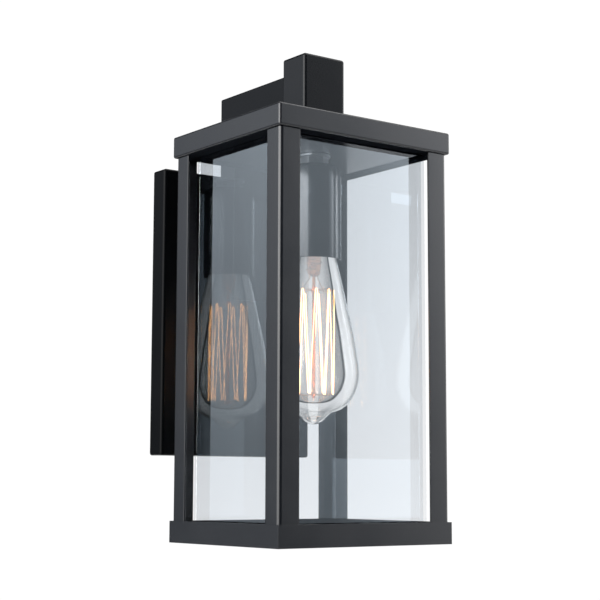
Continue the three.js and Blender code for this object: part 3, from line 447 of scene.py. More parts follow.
def pane_glass():
    """Clear float glass that lets less light through towards the top."""
    g = Graph("pane_glass")
    low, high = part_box("pane_rear")
    through = g.node("ShaderNodeBsdfTransparent")
    upward_share = g.spread(g.axes()["Z"], 0, 1, start=low.z, end=high.z)
    g.feed(through.inputs["Color"], g.blend(upward_share, PANE_PASS_LOW, PANE_PASS_HIGH))
    shine = g.node("ShaderNodeBsdfAnisotropic")
    shine.inputs["Color"].default_value = (*PANE_TINT, 1)
    wiped = g.noise(PANE_WIPE_SCALE, detail=4)
    g.feed(shine.inputs["Roughness"], g.spread(wiped, *PANE_ROUGHNESS, start=0.45, end=0.75))
    ripple = (g.noise(PANE_RIPPLE_SCALE, detail=2), PANE_RIPPLE_DEPTH, PANE_RIPPLE_STRENGTH)
    g.feed(shine.inputs["Normal"], g.bump(ripple))
    fresnel = g.node("ShaderNodeFresnel")
    fresnel.inputs["IOR"].default_value = PANE_IOR
    gloss = g.math("MULTIPLY", fresnel.outputs[0], PANE_GLOSS)
    dust = g.spread(g.noise(DUST_SCALE, detail=5), 0, DUST_SHARE, start=0.5, end=0.8)
    front = g.math("MULTIPLY", g.math("ADD", gloss, dust), g.entering())
    return g.done(g.mix(front, through.outputs[0], shine.outputs[0]))


def blown_glass(name, tint, ripple_depth, glow):
    g = Graph(name)
    glass = g.node("ShaderNodeBsdfGlass")
    glass.inputs["Color"].default_value = (*tint, 1)
    glass.inputs["IOR"].default_value = LAMP_GLASS_IOR
    wiped = g.noise(LAMP_WIPE_SCALE, detail=4)
    g.feed(glass.inputs["Roughness"], g.spread(wiped, *LAMP_GLASS_ROUGHNESS, start=0.5, end=0.8))
    ripple = (g.noise(LAMP_RIPPLE_SCALE, detail=2), ripple_depth, LAMP_RIPPLE_STRENGTH)
    g.feed(glass.inputs["Normal"], g.bump(ripple))
    through = g.node("ShaderNodeBsdfTransparent")
    through.inputs["Color"].default_value = (*times(tint, LAMP_GLASS_PASSES), 1)
    facing = g.node("ShaderNodeLayerWeight")
    facing.inputs["Blend"].default_value = 0.5
    share = g.node("ShaderNodeValToRGB")
    fill_ramp(share.color_ramp, [grey(*stop) for stop in GLOW_BY_FACING])
    g.feed(share.inputs[0], facing.outputs["Facing"])
    # Painted glow: an emission in the glass, which is no lamp; the ramp's dip paints a dark line and its
    # rise a bright band.
    painted_glow = g.node("ShaderNodeEmission")
    glow_mottle = g.blend(g.noise(GLOW_MOTTLE_SCALE), GLOW_MOTTLE_DARK, GLOW_MOTTLE_LIGHT)
    g.feed(painted_glow.inputs["Color"], g.blend(1, share.outputs["Color"], glow_mottle, kind="MULTIPLY"))
    start, end = (over_tip(height) for height in TIP_GLOW)
    rising = g.spread(g.axes()["Z"], TIP_GLOW_LEFT * glow, glow, start=start, end=end)
    seen = g.math("MULTIPLY", g.math("MULTIPLY", share.outputs["Alpha"], rising), g.entering())
    glass_with_painted_glow = g.mix(seen, glass.outputs[0], painted_glow.outputs[0])
    in_shadow = g.node("ShaderNodeLightPath").outputs["Is Shadow Ray"]
    return g.done(g.mix(in_shadow, glass_with_painted_glow, through.outputs[0]))


def metal(name, dark, light, roughness):
    g = Graph(name)
    tarnish = g.spread(g.noise(TARNISH_SCALE, detail=5), 0, 1, start=0.55, end=0.8)
    worn = g.math("MULTIPLY", g.edges(METAL_EDGE_WEAR), METAL_WEAR_SHARE)
    base = g.blend(g.noise(METAL_CLOUD_SCALE), dark, light)
    base = g.blend(g.math("MULTIPLY", tarnish, TARNISH_SHARE), base, times(dark, TARNISH_DARKER))
    base = g.blend(worn, base, times(light, METAL_WEAR_LIGHTER))
    rough = g.roughness(METAL_GLOSS_SCALE, roughness, METAL_ROUGHER, detail=4)
    drawn = g.bump((g.noise(DRAWN_SCALE, stretch=DRAWN_STRETCH), DRAWN_DEPTH, DRAWN_STRENGTH))
    return g.done(g.principled(base, rough, drawn, metallic=1.0))


def dull(name, dark, light, roughness, scale=400, depth=0.1, metallic=0.0):
    """scale and depth are those of the grain, the depth in millimetres."""
    g = Graph(name)
    worn = g.math("MULTIPLY", g.edges(EDGE_WEAR), DULL_WEAR_SHARE)
    base = g.blend(g.noise(scale / GRAINS_PER_CLOUD, detail=4), dark, light)
    base = g.blend(worn, base, times(light, DULL_WEAR_LIGHTER, DULL_WEAR_MORE))
    rough = g.roughness(scale / GRAINS_PER_GLOSS, roughness, DULL_ROUGHER)
    grain = g.bump((g.noise(scale), depth * MM, GRAIN_STRENGTH))
    return g.done(g.principled(base, rough, grain, metallic=metallic))


def glowing():
    g = Graph("glowing_filament")
    heat = g.spread(g.noise(HEAT_SCALE, detail=2), 0, 1)
    emit = g.node("ShaderNodeEmission")
    g.feed(emit.inputs["Color"], g.blend(heat, FILAMENT_DIM, FILAMENT_HOT))
    strength = g.spread(g.noise(FILAMENT_STRENGTH_SCALE, detail=2), *FILAMENT_STRENGTH)
    g.feed(emit.inputs["Strength"], strength)
    return g.done(emit.outputs[0])


BETWEEN_PANES = (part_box("pane_left")[0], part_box("pane_right")[1])
# Copies of the one black paint, set apart to stand in for light and shade: the cup's stronger reflection is
# a painted highlight, and the block's, arm's, wall box's and ceiling's darker colour or weaker reflection is
# painted shade.
BLACK = paint("black_paint", PAINT_DARK, PAINT_LIGHT, 0.2)
HIGHLIGHTED_CUP_PAINT = paint("cup_paint_painted_highlight", PAINT_DARK, PAINT_LIGHT, 0.17, shine=0.9)
SHADED_BLOCK_PAINT = paint("block_paint_painted_shade", (0.003, 0.0034, 0.0042), (0.005, 0.0056, 0.0068), 0.18, shine=0.15)
SHADED_ARM_PAINT = paint("arm_paint_painted_shade", (0.002, 0.0023, 0.003), (0.004, 0.0045, 0.0055), 0.18, shine=0.08)
SHADED_PLATE_PAINT = paint("plate_paint_painted_shade", (0.0008, 0.001, 0.0013), (0.002, 0.0023, 0.0028), 0.2, shine=0.05)
SHADED_CEILING_PAINT = paint("ceiling_paint_painted_shade", PAINT_DARK, PAINT_LIGHT, 0.2, shine=0.16, lit=BETWEEN_PANES)
ENVELOPE = blown_glass("envelope_glass", (1.0, 0.995, 0.985), 0.05 * MM, glow=1.0)
STEM = blown_glass("stem_glass", (0.9, 0.55, 0.25), 0.1 * MM, glow=0.05)
BRASS = metal("nickel_plated_brass", (0.5, 0.4, 0.2), (0.66, 0.55, 0.32), 0.27)
WIRE = metal("support_wire", (0.12, 0.07, 0.03), (0.3, 0.18, 0.08), 0.35)
GLOW = glowing()
FLOOR = dull("floor", (0.93, 0.93, 0.93), (0.96, 0.96, 0.96), 0.8, scale=6, depth=0.02)

BY_SLOT = {
    "black_paint": BLACK,
    "zinc_plated_steel": metal("zinc_plated_steel", (0.42, 0.43, 0.45), (0.6, 0.61, 0.62), 0.33),
    "nickel_plated_brass": BRASS,
    "green_screw": dull("green_screw", (0.02, 0.13, 0.045), (0.035, 0.2, 0.07), 0.36, metallic=0.5),
    "solder": metal("solder", (0.38, 0.39, 0.4), (0.52, 0.52, 0.53), 0.42),
    "foam": dull("foam", (0.016, 0.016, 0.018), (0.032, 0.032, 0.034), 0.9, scale=1800, depth=0.4),
    "rubber": dull("rubber", (0.012, 0.012, 0.012), (0.022, 0.022, 0.021), 0.62, scale=900),
    "pane_glass": pane_glass(),
    "bulb_glass": ENVELOPE,
    "black_glass": dull("black_glass", (0.006, 0.006, 0.008), (0.014, 0.013, 0.016), 0.14, 300, 0.04),
    "porcelain": dull("porcelain", (0.74, 0.72, 0.66), (0.83, 0.81, 0.76), 0.2, scale=240, depth=0.04),
    "support_wire": WIRE,
    "glowing_filament": GLOW,
    "black_sleeve": dull("black_sleeve", (0.012, 0.012, 0.013), (0.025, 0.025, 0.026), 0.45),
    "white_sleeve": dull("white_sleeve", (0.66, 0.65, 0.61), (0.76, 0.75, 0.71), 0.45),
    "green_sleeve": dull("green_sleeve", (0.02, 0.12, 0.04), (0.035, 0.18, 0.065), 0.45),
}


# ---- Mesh code --------------------------------------------------------------------------------

ON_AXIS = 1e-7  # a radius under this is a single point
AROUND = 96  # steps round a large turned piece
FOLD_STEPS = 6
CREASE = 35  # degrees from which an edge is sharp
GLASS_CREASE = 60
THREAD_CREASE = 50


def piece(name, mesh, material, body, slot, *replaced, crease=CREASE, weigh=False):
    """weigh keeps large flats flat next to their rounded folds."""
    mesh.materials.append(material)
    mesh.shade_smooth()
    mesh.set_sharp_from_angle(angle=math.radians(crease))
    made = bpy.data.objects.new(name, mesh)
    bpy.context.scene.collection.objects.link(made)
    if weigh:
        made.modifiers.new("flats stay flat", "WEIGHTED_NORMAL").keep_sharp = True
    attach(made, body)
    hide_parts(*replaced)


def from_bmesh(name, bm):
    bmesh.ops.recalc_face_normals(bm, faces=bm.faces)
    mesh = bpy.data.meshes.new(name)
    bm.to_mesh(mesh)
    bm.free()
    return mesh


def lathe(profile, steps, closed=False, bm=None, at=(LAMP_X, LAMP_Y)):
    """profile is a list of (radius, z). It starts and ends on the axis unless it is closed on itself."""
    bm = bm or bmesh.new()
    x, y = at
    turn = 2 * math.pi / steps
    rings = []
    for radius, z in profile:
        if radius < ON_AXIS:
            rings.append([bm.verts.new((x, y, z))])
            continue
        rings.append(
            [
                bm.verts.new((x + radius * math.cos(turn * i), y + radius * math.sin(turn * i), z))
                for i in range(steps)
            ]
        )
    pairs = list(zip(rings, rings[1:]))
    if closed:
        pairs.append((rings[-1], rings[0]))
    for a, b in pairs:
        for i in range(steps):
            j = (i + 1) % steps
            if len(a) == 1:
                bm.faces.new((a[0], b[j], b[i]))
            elif len(b) == 1:
                bm.faces.new((a[i], a[j], b[0]))
            else:
                bm.faces.new((a[i], a[j], b[j], b[i]))
    return bm


def smooth_curve(points, count):
    """Catmull-Rom through (r, z) points, evenly by parameter."""
    padded = [points[0], *points, points[-1]]
    spans = len(points) - 1
    out = []
    for k in range(count + 1):
        t = k / count * spans
        i = min(int(t), spans - 1)
        u = t - i
        p0, p1, p2, p3 = (Vector(p) for p in padded[i : i + 4])
        out.append(
            0.5
            * (
                2 * p1
                + (p2 - p0) * u
                + (2 * p0 - 5 * p1 + 4 * p2 - p3) * u * u
                + (3 * p1 - p0 - 3 * p2 + p3) * u**3
            )
        )
    return out


def tube(bm, points, radius, sides):
    """A round tube through 3-D points, with its ends capped."""
    points = [Vector(p) for p in points]
    last = len(points) - 1
    normal = None
    rings = []
    for i, p in enumerate(points):
        tangent = (points[min(i + 1, last)] - points[max(i - 1, 0)]).normalized()
        if normal is None:
            normal = tangent.orthogonal().normalized()
        normal = (normal - tangent * normal.dot(tangent)).normalized()
        across = tangent.cross(normal)
        rings.append(
            [
                bm.verts.new(p + radius * (math.cos(a) * normal + math.sin(a) * across))
                for a in (2 * math.pi * k / sides for k in range(sides))
            ]
        )
    for a, b in zip(rings, rings[1:]):
        for k in range(sides):
            bm.faces.new((a[k], a[(k + 1) % sides], b[(k + 1) % sides], b[k]))
    bm.faces.new(list(reversed(rings[0])))
    bm.faces.new(rings[-1])


def arc(centre, radius, start, end, steps):
    cx, cy = centre
    return [
        (
            cx + radius * math.cos(math.radians(start + (end - start) * i / steps)),
            cy + radius * math.sin(math.radians(start + (end - start) * i / steps)),
        )
        for i in range(steps + 1)
    ]


def prism(bm, bottom, top):
    """A solid between two outlines of the same points."""
    bottom, top = ([bm.verts.new(p) for p in outline] for outline in (bottom, top))
    for i in range(len(bottom)):
        j = (i + 1) % len(bottom)
        bm.faces.new((bottom[i], bottom[j], top[j], top[i]))
    bm.faces.new(bottom)
    bm.faces.new(top)


def box(span_x, span_y, span_z):
    bm = bmesh.new()
    for v in bmesh.ops.create_cube(bm, size=1)["verts"]:
        v.co = Vector(
            (
                span_x[0] if v.co.x < 0 else span_x[1],
                span_y[0] if v.co.y < 0 else span_y[1],
                span_z[0] if v.co.z < 0 else span_z[1],
            )
        )
    return bm


def box_of(node):
    low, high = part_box(node)
    return box((low.x, high.x), (low.y, high.y), (low.z, high.z))


def fold_edges(bm, chosen, radius, segments=FOLD_STEPS):
    """Rounds the edges whose middle is chosen."""
    edges = [e for e in bm.edges if chosen((e.verts[0].co + e.verts[1].co) / 2)]
    bmesh.ops.bevel(
        bm, geom=edges, offset=radius, segments=segments, profile=0.5, affect="EDGES", clamp_overlap=True
    )


def rod(axis, radius, start, end, centre):
    bm = lathe([(0, start), (radius, start), (radius, end), (0, end)], ROD_SIDES, at=(0, 0))
    if axis == "y":
        lay = Matrix.Rotation(math.radians(-90), 3, "X")
        bmesh.ops.rotate(bm, verts=bm.verts, cent=(0, 0, 0), matrix=lay)
    bmesh.ops.translate(bm, verts=bm.verts, vec=centre)
    return bm


def carve(name, body_bm, cutters):
    """The solid less its cutters, as a new mesh."""
    solid = bpy.data.objects.new(name, from_bmesh(name, body_bm))
    bpy.context.scene.collection.objects.link(solid)
    tools = []
    for i, cutter in enumerate(cutters):
        tool = bpy.data.objects.new(f"{name}_cut{i}", from_bmesh(f"{name}_cut{i}", cutter))
        bpy.context.scene.collection.objects.link(tool)
        tools.append(tool)
        modifier = solid.modifiers.new("cut", "BOOLEAN")
        modifier.operation, modifier.solver, modifier.object = "DIFFERENCE", "EXACT", tool
    graph = bpy.context.evaluated_depsgraph_get()
    mesh = bpy.data.meshes.new_from_object(solid.evaluated_get(graph))
    for extra in [solid, *tools]:
        bpy.data.objects.remove(extra)
    return mesh


# ---- Sheet-metal pieces -----------------------------------------------------------------------

PAST = 1 * MM  # how far a cutter runs past the face it opens
SEAM = 0.1 * MM  # how near an edge is to a face that stays sharp
SHEET = 1.5 * MM
ROD_SIDES = 32

POST_ROUND = 2.3 * MM
POST_INNER_ROUND = 0.6 * MM
POST_EDGE_ROUND = 0.35 * MM
POST_ROUND_STEPS, POST_INNER_STEPS, POST_EDGE_STEPS = 8, 4, 3
FOOT_SIDE = 7.7 * MM
FOOT_HEIGHT = 8 * MM
FOOT_WELD = 0.1 * MM  # how far the foot runs into the angle's sheet

ROOF_FOLD = 1.4 * MM
BLOCK_FOLD = 1.9 * MM
ARM_FOLD = 1.0 * MM
ARM_FOLD_STEPS = 4
PLATE_FOLD = 1.8 * MM

NIPPLE_HOLE = 5.3 * MM
GROMMET_HOLE = 7 * MM
TUBE_SCREW_HOLE = 2.8 * MM
SET_SCREW_HOLE = 2.3 * MM
TUBE_SCREWS = ("tube_screw_low", "tube_screw_high")

CUP_SHEET = 1 * MM
CUP_SHOULDER = 3 * MM
CUP_LIP = 0.45 * MM
CUP_CHAMFER = 0.1 * MM
CUP_SHOULDER_STEPS, CUP_LIP_STEPS = 8, 4


def post_outline(along_x, along_y):
    """The corner angle seen from above, with its fold at the origin."""
    edge, inner = POST_EDGE_ROUND, POST_INNER_ROUND
    return [
        *arc((POST_ROUND, POST_ROUND), POST_ROUND, 180, 270, POST_ROUND_STEPS),
        *arc((along_x - edge, edge), edge, 270, 360, POST_EDGE_STEPS),
        *arc((along_x - edge, SHEET - edge), edge, 0, 90, POST_EDGE_STEPS),
        *arc((SHEET + inner, SHEET + inner), inner, 270, 180, POST_INNER_STEPS),
        *arc((SHEET - edge, along_y - edge), edge, 0, 90, POST_EDGE_STEPS),
        *arc((edge, along_y - edge), edge, 90, 180, POST_EDGE_STEPS),
    ]


def make_posts():
    """Corner angles with a rounded fold, each on its foot block."""
    near = SHEET - FOOT_WELD
    foot = [(near, near), (FOOT_SIDE, near), (FOOT_SIDE, FOOT_SIDE), (near, FOOT_SIDE)]
    for end, inward_y in (("front", 1), ("rear", -1)):
        for side, inward_x in (("left", 1), ("right", -1)):
            name = f"post_{end}_{side}"
            low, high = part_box(name)
            corner = Vector((low.x if inward_x > 0 else high.x, low.y if inward_y > 0 else high.y))
            bm = bmesh.new()
            for outline, height in (
                (post_outline(high.x - low.x, high.y - low.y), high.z - low.z),
                (foot, FOOT_HEIGHT),
            ):
                placed = [(corner.x + inward_x * x, corner.y + inward_y * y) for x, y in outline]
                prism(bm, [(x, y, low.z) for x, y in placed], [(x, y, low.z + height) for x, y in placed])
            mesh = from_bmesh(name, bm)
            piece(name + "_angle", mesh, BLACK, LANTERN, "black_paint", name, weigh=True)


def make_roof():
    low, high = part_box("roof_cap")
    bm = box_of("roof_cap")
    fold_edges(bm, lambda mid: True, ROOF_FOLD)
    inside = box(
        (low.x + SHEET, high.x - SHEET), (low.y + SHEET, high.y - SHEET), (low.z - PAST, high.z - SHEET)
    )
    hole = rod("z", NIPPLE_HOLE, high.z - 2 * SHEET, high.z + PAST, (LAMP_X, LAMP_Y, 0))
    mesh = carve("roof_tray", bm, [inside, hole])
    piece("roof_tray", mesh, BLACK, LANTERN, "black_paint", "roof_cap", weigh=True)


def make_block():
    """An upright box, open below and where the arm's tongue comes in."""
    low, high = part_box("roof_block")
    arm_low, arm_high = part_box("arm_tube")
    bm = box_of("roof_block")
    fold_edges(bm, lambda mid: mid.y < high.y - SEAM and mid.z > low.z + PAST, BLOCK_FOLD)
    inner_x = (low.x + SHEET, high.x - SHEET)
    cutters = [
        box(inner_x, (low.y + SHEET, high.y - SHEET), (low.z - PAST, high.z - SHEET)),
        box(inner_x, (high.y - 2 * SHEET, high.y + PAST), (arm_low.z + SHEET, arm_high.z - SHEET)),
    ]
    mesh = carve("block_shell", bm, cutters)
    piece("block_shell", mesh, SHADED_BLOCK_PAINT, LANTERN, "black_paint", "roof_block", weigh=True)


def make_arm():
    """The arm and the drop tube, welded at the mitre and ground flush."""
    arm_low, arm_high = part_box("arm_tube")
    tube_low, tube_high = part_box("drop_tube")
    outline = [
        (arm_low.y, arm_low.z),
        (tube_low.y, arm_low.z),
        (tube_low.y, tube_low.z),
        (tube_high.y, tube_low.z),
        (tube_high.y, arm_high.z),
        (arm_low.y, arm_high.z),
    ]
    bm = bmesh.new()
    prism(bm, [(arm_low.x, y, z) for y, z in outline], [(arm_high.x, y, z) for y, z in outline])
    bmesh.ops.recalc_face_normals(bm, faces=bm.faces)
    fold_edges(bm, lambda mid: mid.y > arm_low.y + SEAM, ARM_FOLD, ARM_FOLD_STEPS)
    inner_x = (arm_low.x + SHEET, arm_high.x - SHEET)
    wall = tube_high.y - SHEET
    screw = middle("arm_set_screw")
    cutters = [
        box(inner_x, (arm_low.y - PAST, wall), (arm_low.z + SHEET, arm_high.z - SHEET)),
        box(inner_x, (tube_low.y + SHEET, wall), (tube_low.z + SHEET, arm_high.z - 2 * SHEET)),
        rod("y", GROMMET_HOLE, wall - PAST, tube_high.y + PAST, (0, 0, middle("wire_grommet").z)),
        rod("z", SET_SCREW_HOLE, arm_low.z - PAST, arm_low.z + 2 * SHEET, (screw.x, screw.y, 0)),
        *(
            rod("y", TUBE_SCREW_HOLE, wall - PAST, tube_high.y + PAST, (0, 0, middle(node).z))
            for node in TUBE_SCREWS
        ),
    ]
    mesh = carve("arm_shell", bm, cutters)
    piece("arm_shell", mesh, SHADED_ARM_PAINT, LANTERN, "black_paint", "arm_tube", "drop_tube", weigh=True)


def make_backplate():
    """The wall box, open at the wall."""
    low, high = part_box("wall_backplate")
    bm = box_of("wall_backplate")
    fold_edges(bm, lambda mid: mid.y < high.y - SEAM, PLATE_FOLD)
    lock = middle("lock_screw_top")
    cutters = [
        box(
            (low.x + SHEET, high.x - SHEET), (low.y + SHEET, high.y + PAST), (low.z + SHEET, high.z - SHEET)
        ),
        rod("y", GROMMET_HOLE, low.y - PAST, low.y + 2 * SHEET, (0, 0, middle("wire_grommet").z)),
        rod("z", SET_SCREW_HOLE, low.z - PAST, high.z + PAST, (lock.x, lock.y, 0)),
        *(
            rod("y", TUBE_SCREW_HOLE, low.y - PAST, low.y + 2 * SHEET, (0, 0, middle(node).z))
            for node in TUBE_SCREWS
        ),
    ]
    mesh = carve("plate_shell", bm, cutters)
    piece("plate_shell", mesh, SHADED_PLATE_PAINT, LANTERN, "black_paint", "wall_backplate", weigh=True)


def make_cup():
    low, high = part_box("socket_cup")
    radius = (high.x - low.x) / 2
    shoulder = (radius - CUP_SHOULDER, high.z - CUP_SHOULDER)
    profile = [
        *arc((radius - CUP_LIP, low.z + CUP_LIP), CUP_LIP, -90, 0, CUP_LIP_STEPS),
        *arc(shoulder, CUP_SHOULDER, 0, 90, CUP_SHOULDER_STEPS),
        (NIPPLE_HOLE, high.z),
        (NIPPLE_HOLE, high.z - CUP_SHEET),
        *arc(shoulder, CUP_SHOULDER - CUP_SHEET, 90, 0, CUP_SHOULDER_STEPS),
        (radius - CUP_SHEET, low.z + CUP_LIP),
        (radius - CUP_SHEET + CUP_CHAMFER, low.z),
    ]
    mesh = from_bmesh("cup_shell", lathe(profile, AROUND, closed=True))
    piece("cup_shell", mesh, HIGHLIGHTED_CUP_PAINT, LANTERN, "black_paint", "socket_cup")


# ---- Lamp -------------------------------------------------------------------------------------

# Outline of the lamp's glass as (radius, height over the tip), in millimetres.
GLASS_OUTLINE = (
    (0, 0),
    (3.4, 0.75),
    (6.4, 2.5),
    (8.6, 4.9),
    (10.8, 6.7),
    (14.4, 8.2),
    (18.2, 10.1),
    (22.6, 13.6),
    (26.6, 19.8),
    (29.0, 27.0),
    (29.6, 32.5),
    (29.3, 38.0),
    (28.6, 43.6),
    (25.7, 60.7),
    (22.0, 77.1),
    (17.9, 95.9),
    (15.2, 107.0),
    (13.3, 115.5),
    (12.8, 118.6),
    (12.15, 120.2),
    (12.15, 134.0),
)
GLASS_ROWS = 96
GLASS_WALL = 0.75 * MM
GLASS_NEAR_AXIS = 0.15 * MM  # the inside's points nearer than this become its lowest point

# Screw threads of the cap and of the holder's shell
THREAD_PITCH = 3.629 * MM
THREAD_SIDES = 72
THREAD_FADE_ROWS = 3
CAP_THREAD_DEPTH = 0.75 * MM
CAP_THREAD_ROWS = 84
CAP_SHEET = 0.35 * MM
CAP_SKIRT = 3.0 * MM
CAP_SHOULDER = 2.4 * MM
CAP_RIM_IN, CAP_RIM_HEIGHT = 0.3 * MM, 0.8 * MM
# The cap's shoulder as (in from its radius, down from its top), in millimetres.
CAP_TOP = ((1.6, 1.5), (3.6, 0.5), (5.2, 0))
SHELL_THREAD_DEPTH = 0.42 * MM
SHELL_THREAD_ROWS = 96
SHELL_SHEET = 0.05 * MM

# The stem's flare as (radius, height over the tip), in millimetres, and its pinched press.
STEM_FLARE = ((11.0, 133.0), (9.6, 127.0), (6.4, 120.0), (4.9, 112.0), (4.5, 104.5), (3.9, 99.0))
STEM_FLARE_ROWS = 30
STEM_SIDES = 40
STEM_TOP = 133.0
STEM_END = ((2.4, 97.2), (0, 96.6))
PINCH_FROM = 112
PINCH_LENGTH = 12 * MM
PINCH_THINNER, PINCH_WIDER = 0.45, 0.28

# The glass rod with its two buttons
HUB_HIGH = over_tip(87.7)
HUB_LOW = over_tip(19.7)
STEM_ROD_RADIUS = 1.05 * MM
STEM_ROD_SIDES = 20
STEM_ROD_TOP = ((0, 97.5), (1.05, 97.4))
BUTTON_RADIUS = 1.9 * MM
BUTTON_LATITUDES = (55, 35, 15, 0, -15, -35, -55)
# The rod's end as (radius, height under the lower button), in millimetres.
STEM_ROD_END = ((1.05, 2.2), (0.6, 2.6), (0, 2.7))

# Filament and its wires
CAGE_RADIUS = 13.5 * MM
HAIRPINS = 9
HOOK = 0.9 * MM
HOOK_PAST = 0.1 * MM
HOOK_RISE = 0.5  # a hook is half as high as it is wide
HOOK_DEGREES = (50, 90, 140, 190)
WIRE_START = 1.2 * MM
WIRE_SAG = 0.6 * MM
WIRE_SAG_AT = (0.3, 0.6, 0.85)
WIRE_RADIUS, WIRE_SIDES = 0.17 * MM, 6
# A lead from the press to the filament as (radius, turn, height over the tip).
LEAD_ROUTE = ((2.8, 0, 100), (3.4, 0, 95.5), (7.6, 0.25, 92), (11.6, 0.35, 89.2))
LEAD_END_IN, LEAD_END_TURN, LEAD_END_OVER_HUB = 0.3 * MM, 0.42, 0.4 * MM
LEAD_RADIUS, LEAD_SIDES = 0.28 * MM, 8
COIL_POINTS = 34
COIL_TOP, COIL_DROP = 113.0, 0.42
COIL_TURN = 0.8
COIL_REACH, COIL_SWING, COIL_SWING_RATE = 3.2, 2.2, 0.5
COIL_RADIUS, COIL_SIDES = 0.25 * MM, 6
BEND = 0.75 * MM
BEND_OUT = 0.8  # share of BEND that a hairpin's tip stands past its ends
BEND_HALF_TURN = math.radians(2.6)
FILAMENT_IN = 0.2 * MM
FILAMENT_BOW = 0.35 * MM
FILAMENT_RADIUS, FILAMENT_SIDES = 0.3 * MM, 6
STRAND_STEPS, BEND_STEPS = 10, 2
STRAND_LEAST = 10 * MM  # a longer stretch is a strand and a shorter one part of a bend


def around(radius, turn, z):
    return Vector((LAMP_X + radius * math.cos(turn), LAMP_Y + radius * math.sin(turn), z))


def make_envelope():
    outer = smooth_curve([(r * MM, over_tip(z)) for r, z in GLASS_OUTLINE], GLASS_ROWS)
    inner = []
    for i, p in enumerate(outer):
        before, after = outer[max(i - 1, 0)], outer[min(i + 1, len(outer) - 1)]
        tangent = (after - before).normalized()
        inner.append((p.x - GLASS_WALL * tangent.y, p.y + GLASS_WALL * tangent.x))
    profile = [(max(p.x, 0), p.y) for p in outer]
    back = [q for q in reversed(inner) if q[0] > GLASS_NEAR_AXIS] + [(0, LAMP_TIP + GLASS_WALL)]
    mesh = from_bmesh("glass_envelope", lathe(profile + back, AROUND))
    piece("glass_envelope", mesh, ENVELOPE, LAMP, "bulb_glass", "bulb_envelope", crease=GLASS_CREASE)


def ring(radius, z):
    return [(radius, 2 * math.pi * i / THREAD_SIDES, z) for i in range(THREAD_SIDES)]


def threaded(outer, depth, z0, z1, rows):
    """Rings of (radius, angle, z) that follow a right-hand thread and fade out at both ends."""
    rings = []
    for row in range(rows + 1):
        z = z0 + (z1 - z0) * row / rows
        fade = min(1, row / THREAD_FADE_ROWS, (rows - row) / THREAD_FADE_ROWS)
        loop = []
        for i in range(THREAD_SIDES):
            phase = (z / THREAD_PITCH - i / THREAD_SIDES) % 1
            wave = 0.5 + 0.5 * math.cos(2 * math.pi * phase)
            loop.append((outer - depth + depth * wave * fade, 2 * math.pi * (i / THREAD_SIDES), z))
        rings.append(loop)
    return rings


def sleeve(name, rings):
    """A mesh through the rings, closed from the last one to the first."""
    bm = bmesh.new()
    loops = [
        [bm.verts.new((LAMP_X + r * math.cos(a), LAMP_Y + r * math.sin(a), z)) for r, a, z in loop]
        for loop in rings
    ]
    for a, b in zip(loops, loops[1:] + loops[:1]):
        for i in range(THREAD_SIDES):
            j = (i + 1) % THREAD_SIDES
            bm.faces.new((a[i], a[j], b[j], b[i]))
    return from_bmesh(name, bm)


def make_cap():
    low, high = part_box("bulb_cap")
    outer = (high.x - low.x) / 2
    under = high.z - CAP_SHOULDER
    shell = [
        ring(outer, low.z),
        ring(outer - CAP_RIM_IN, low.z + CAP_RIM_HEIGHT),
        *threaded(outer, CAP_THREAD_DEPTH, low.z + CAP_SKIRT, under, CAP_THREAD_ROWS),
        *(ring(outer - inward * MM, high.z - down * MM) for inward, down in CAP_TOP),
    ]
    inside = [
        [(r - CAP_SHEET, a, z - (CAP_SHEET if z > under else 0)) for r, a, z in loop]
        for loop in reversed(shell)
    ]
    mesh = sleeve("cap_shell", shell + inside)
    piece("cap_shell", mesh, BRASS, LAMP, "nickel_plated_brass", "bulb_cap", crease=THREAD_CREASE)


def make_screw_shell():
    low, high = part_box("screw_shell")
    outer = (high.x - low.x) / 2
    rings = threaded(outer, SHELL_THREAD_DEPTH, low.z, high.z, SHELL_THREAD_ROWS)
    outside = [[(outer, a, z) for r, a, z in loop] for loop in rings]
    inside = [[(r - SHELL_SHEET, a, z) for r, a, z in loop] for loop in reversed(rings)]
    mesh = sleeve("threaded_shell", outside + inside)
    piece("threaded_shell", mesh, BRASS, LANTERN, "nickel_plated_brass", "screw_shell")


def make_stem():
    """Flare, pinched press and solid rod with two glass buttons."""
    flare = smooth_curve([(r * MM, over_tip(z)) for r, z in STEM_FLARE], STEM_FLARE_ROWS)
    profile = [(0, over_tip(STEM_TOP)), *((p.x, p.y) for p in flare)]
    bm = lathe(profile + [(r * MM, over_tip(z)) for r, z in STEM_END], STEM_SIDES)
    for v in bm.verts:
        pinch = min(max((over_tip(PINCH_FROM) - v.co.z) / PINCH_LENGTH, 0), 1)
        v.co.y = LAMP_Y + (v.co.y - LAMP_Y) * (1 - PINCH_THINNER * pinch)
        v.co.x = LAMP_X + (v.co.x - LAMP_X) * (1 + PINCH_WIDER * pinch)
    profile = [(r * MM, over_tip(z)) for r, z in STEM_ROD_TOP]
    for hub in (HUB_HIGH, HUB_LOW):
        profile += [
            (max(BUTTON_RADIUS * math.cos(a), STEM_ROD_RADIUS), hub + BUTTON_RADIUS * math.sin(a))
            for a in (math.radians(d) for d in BUTTON_LATITUDES)
        ]
    profile += [(r * MM, HUB_LOW - down * MM) for r, down in STEM_ROD_END]
    lathe(profile, STEM_ROD_SIDES, bm=bm)
    mesh = from_bmesh("stem_glass", bm)
    piece("stem_glass", mesh, STEM, LAMP, "bulb_glass", "bulb_stem", crease=GLASS_CREASE)


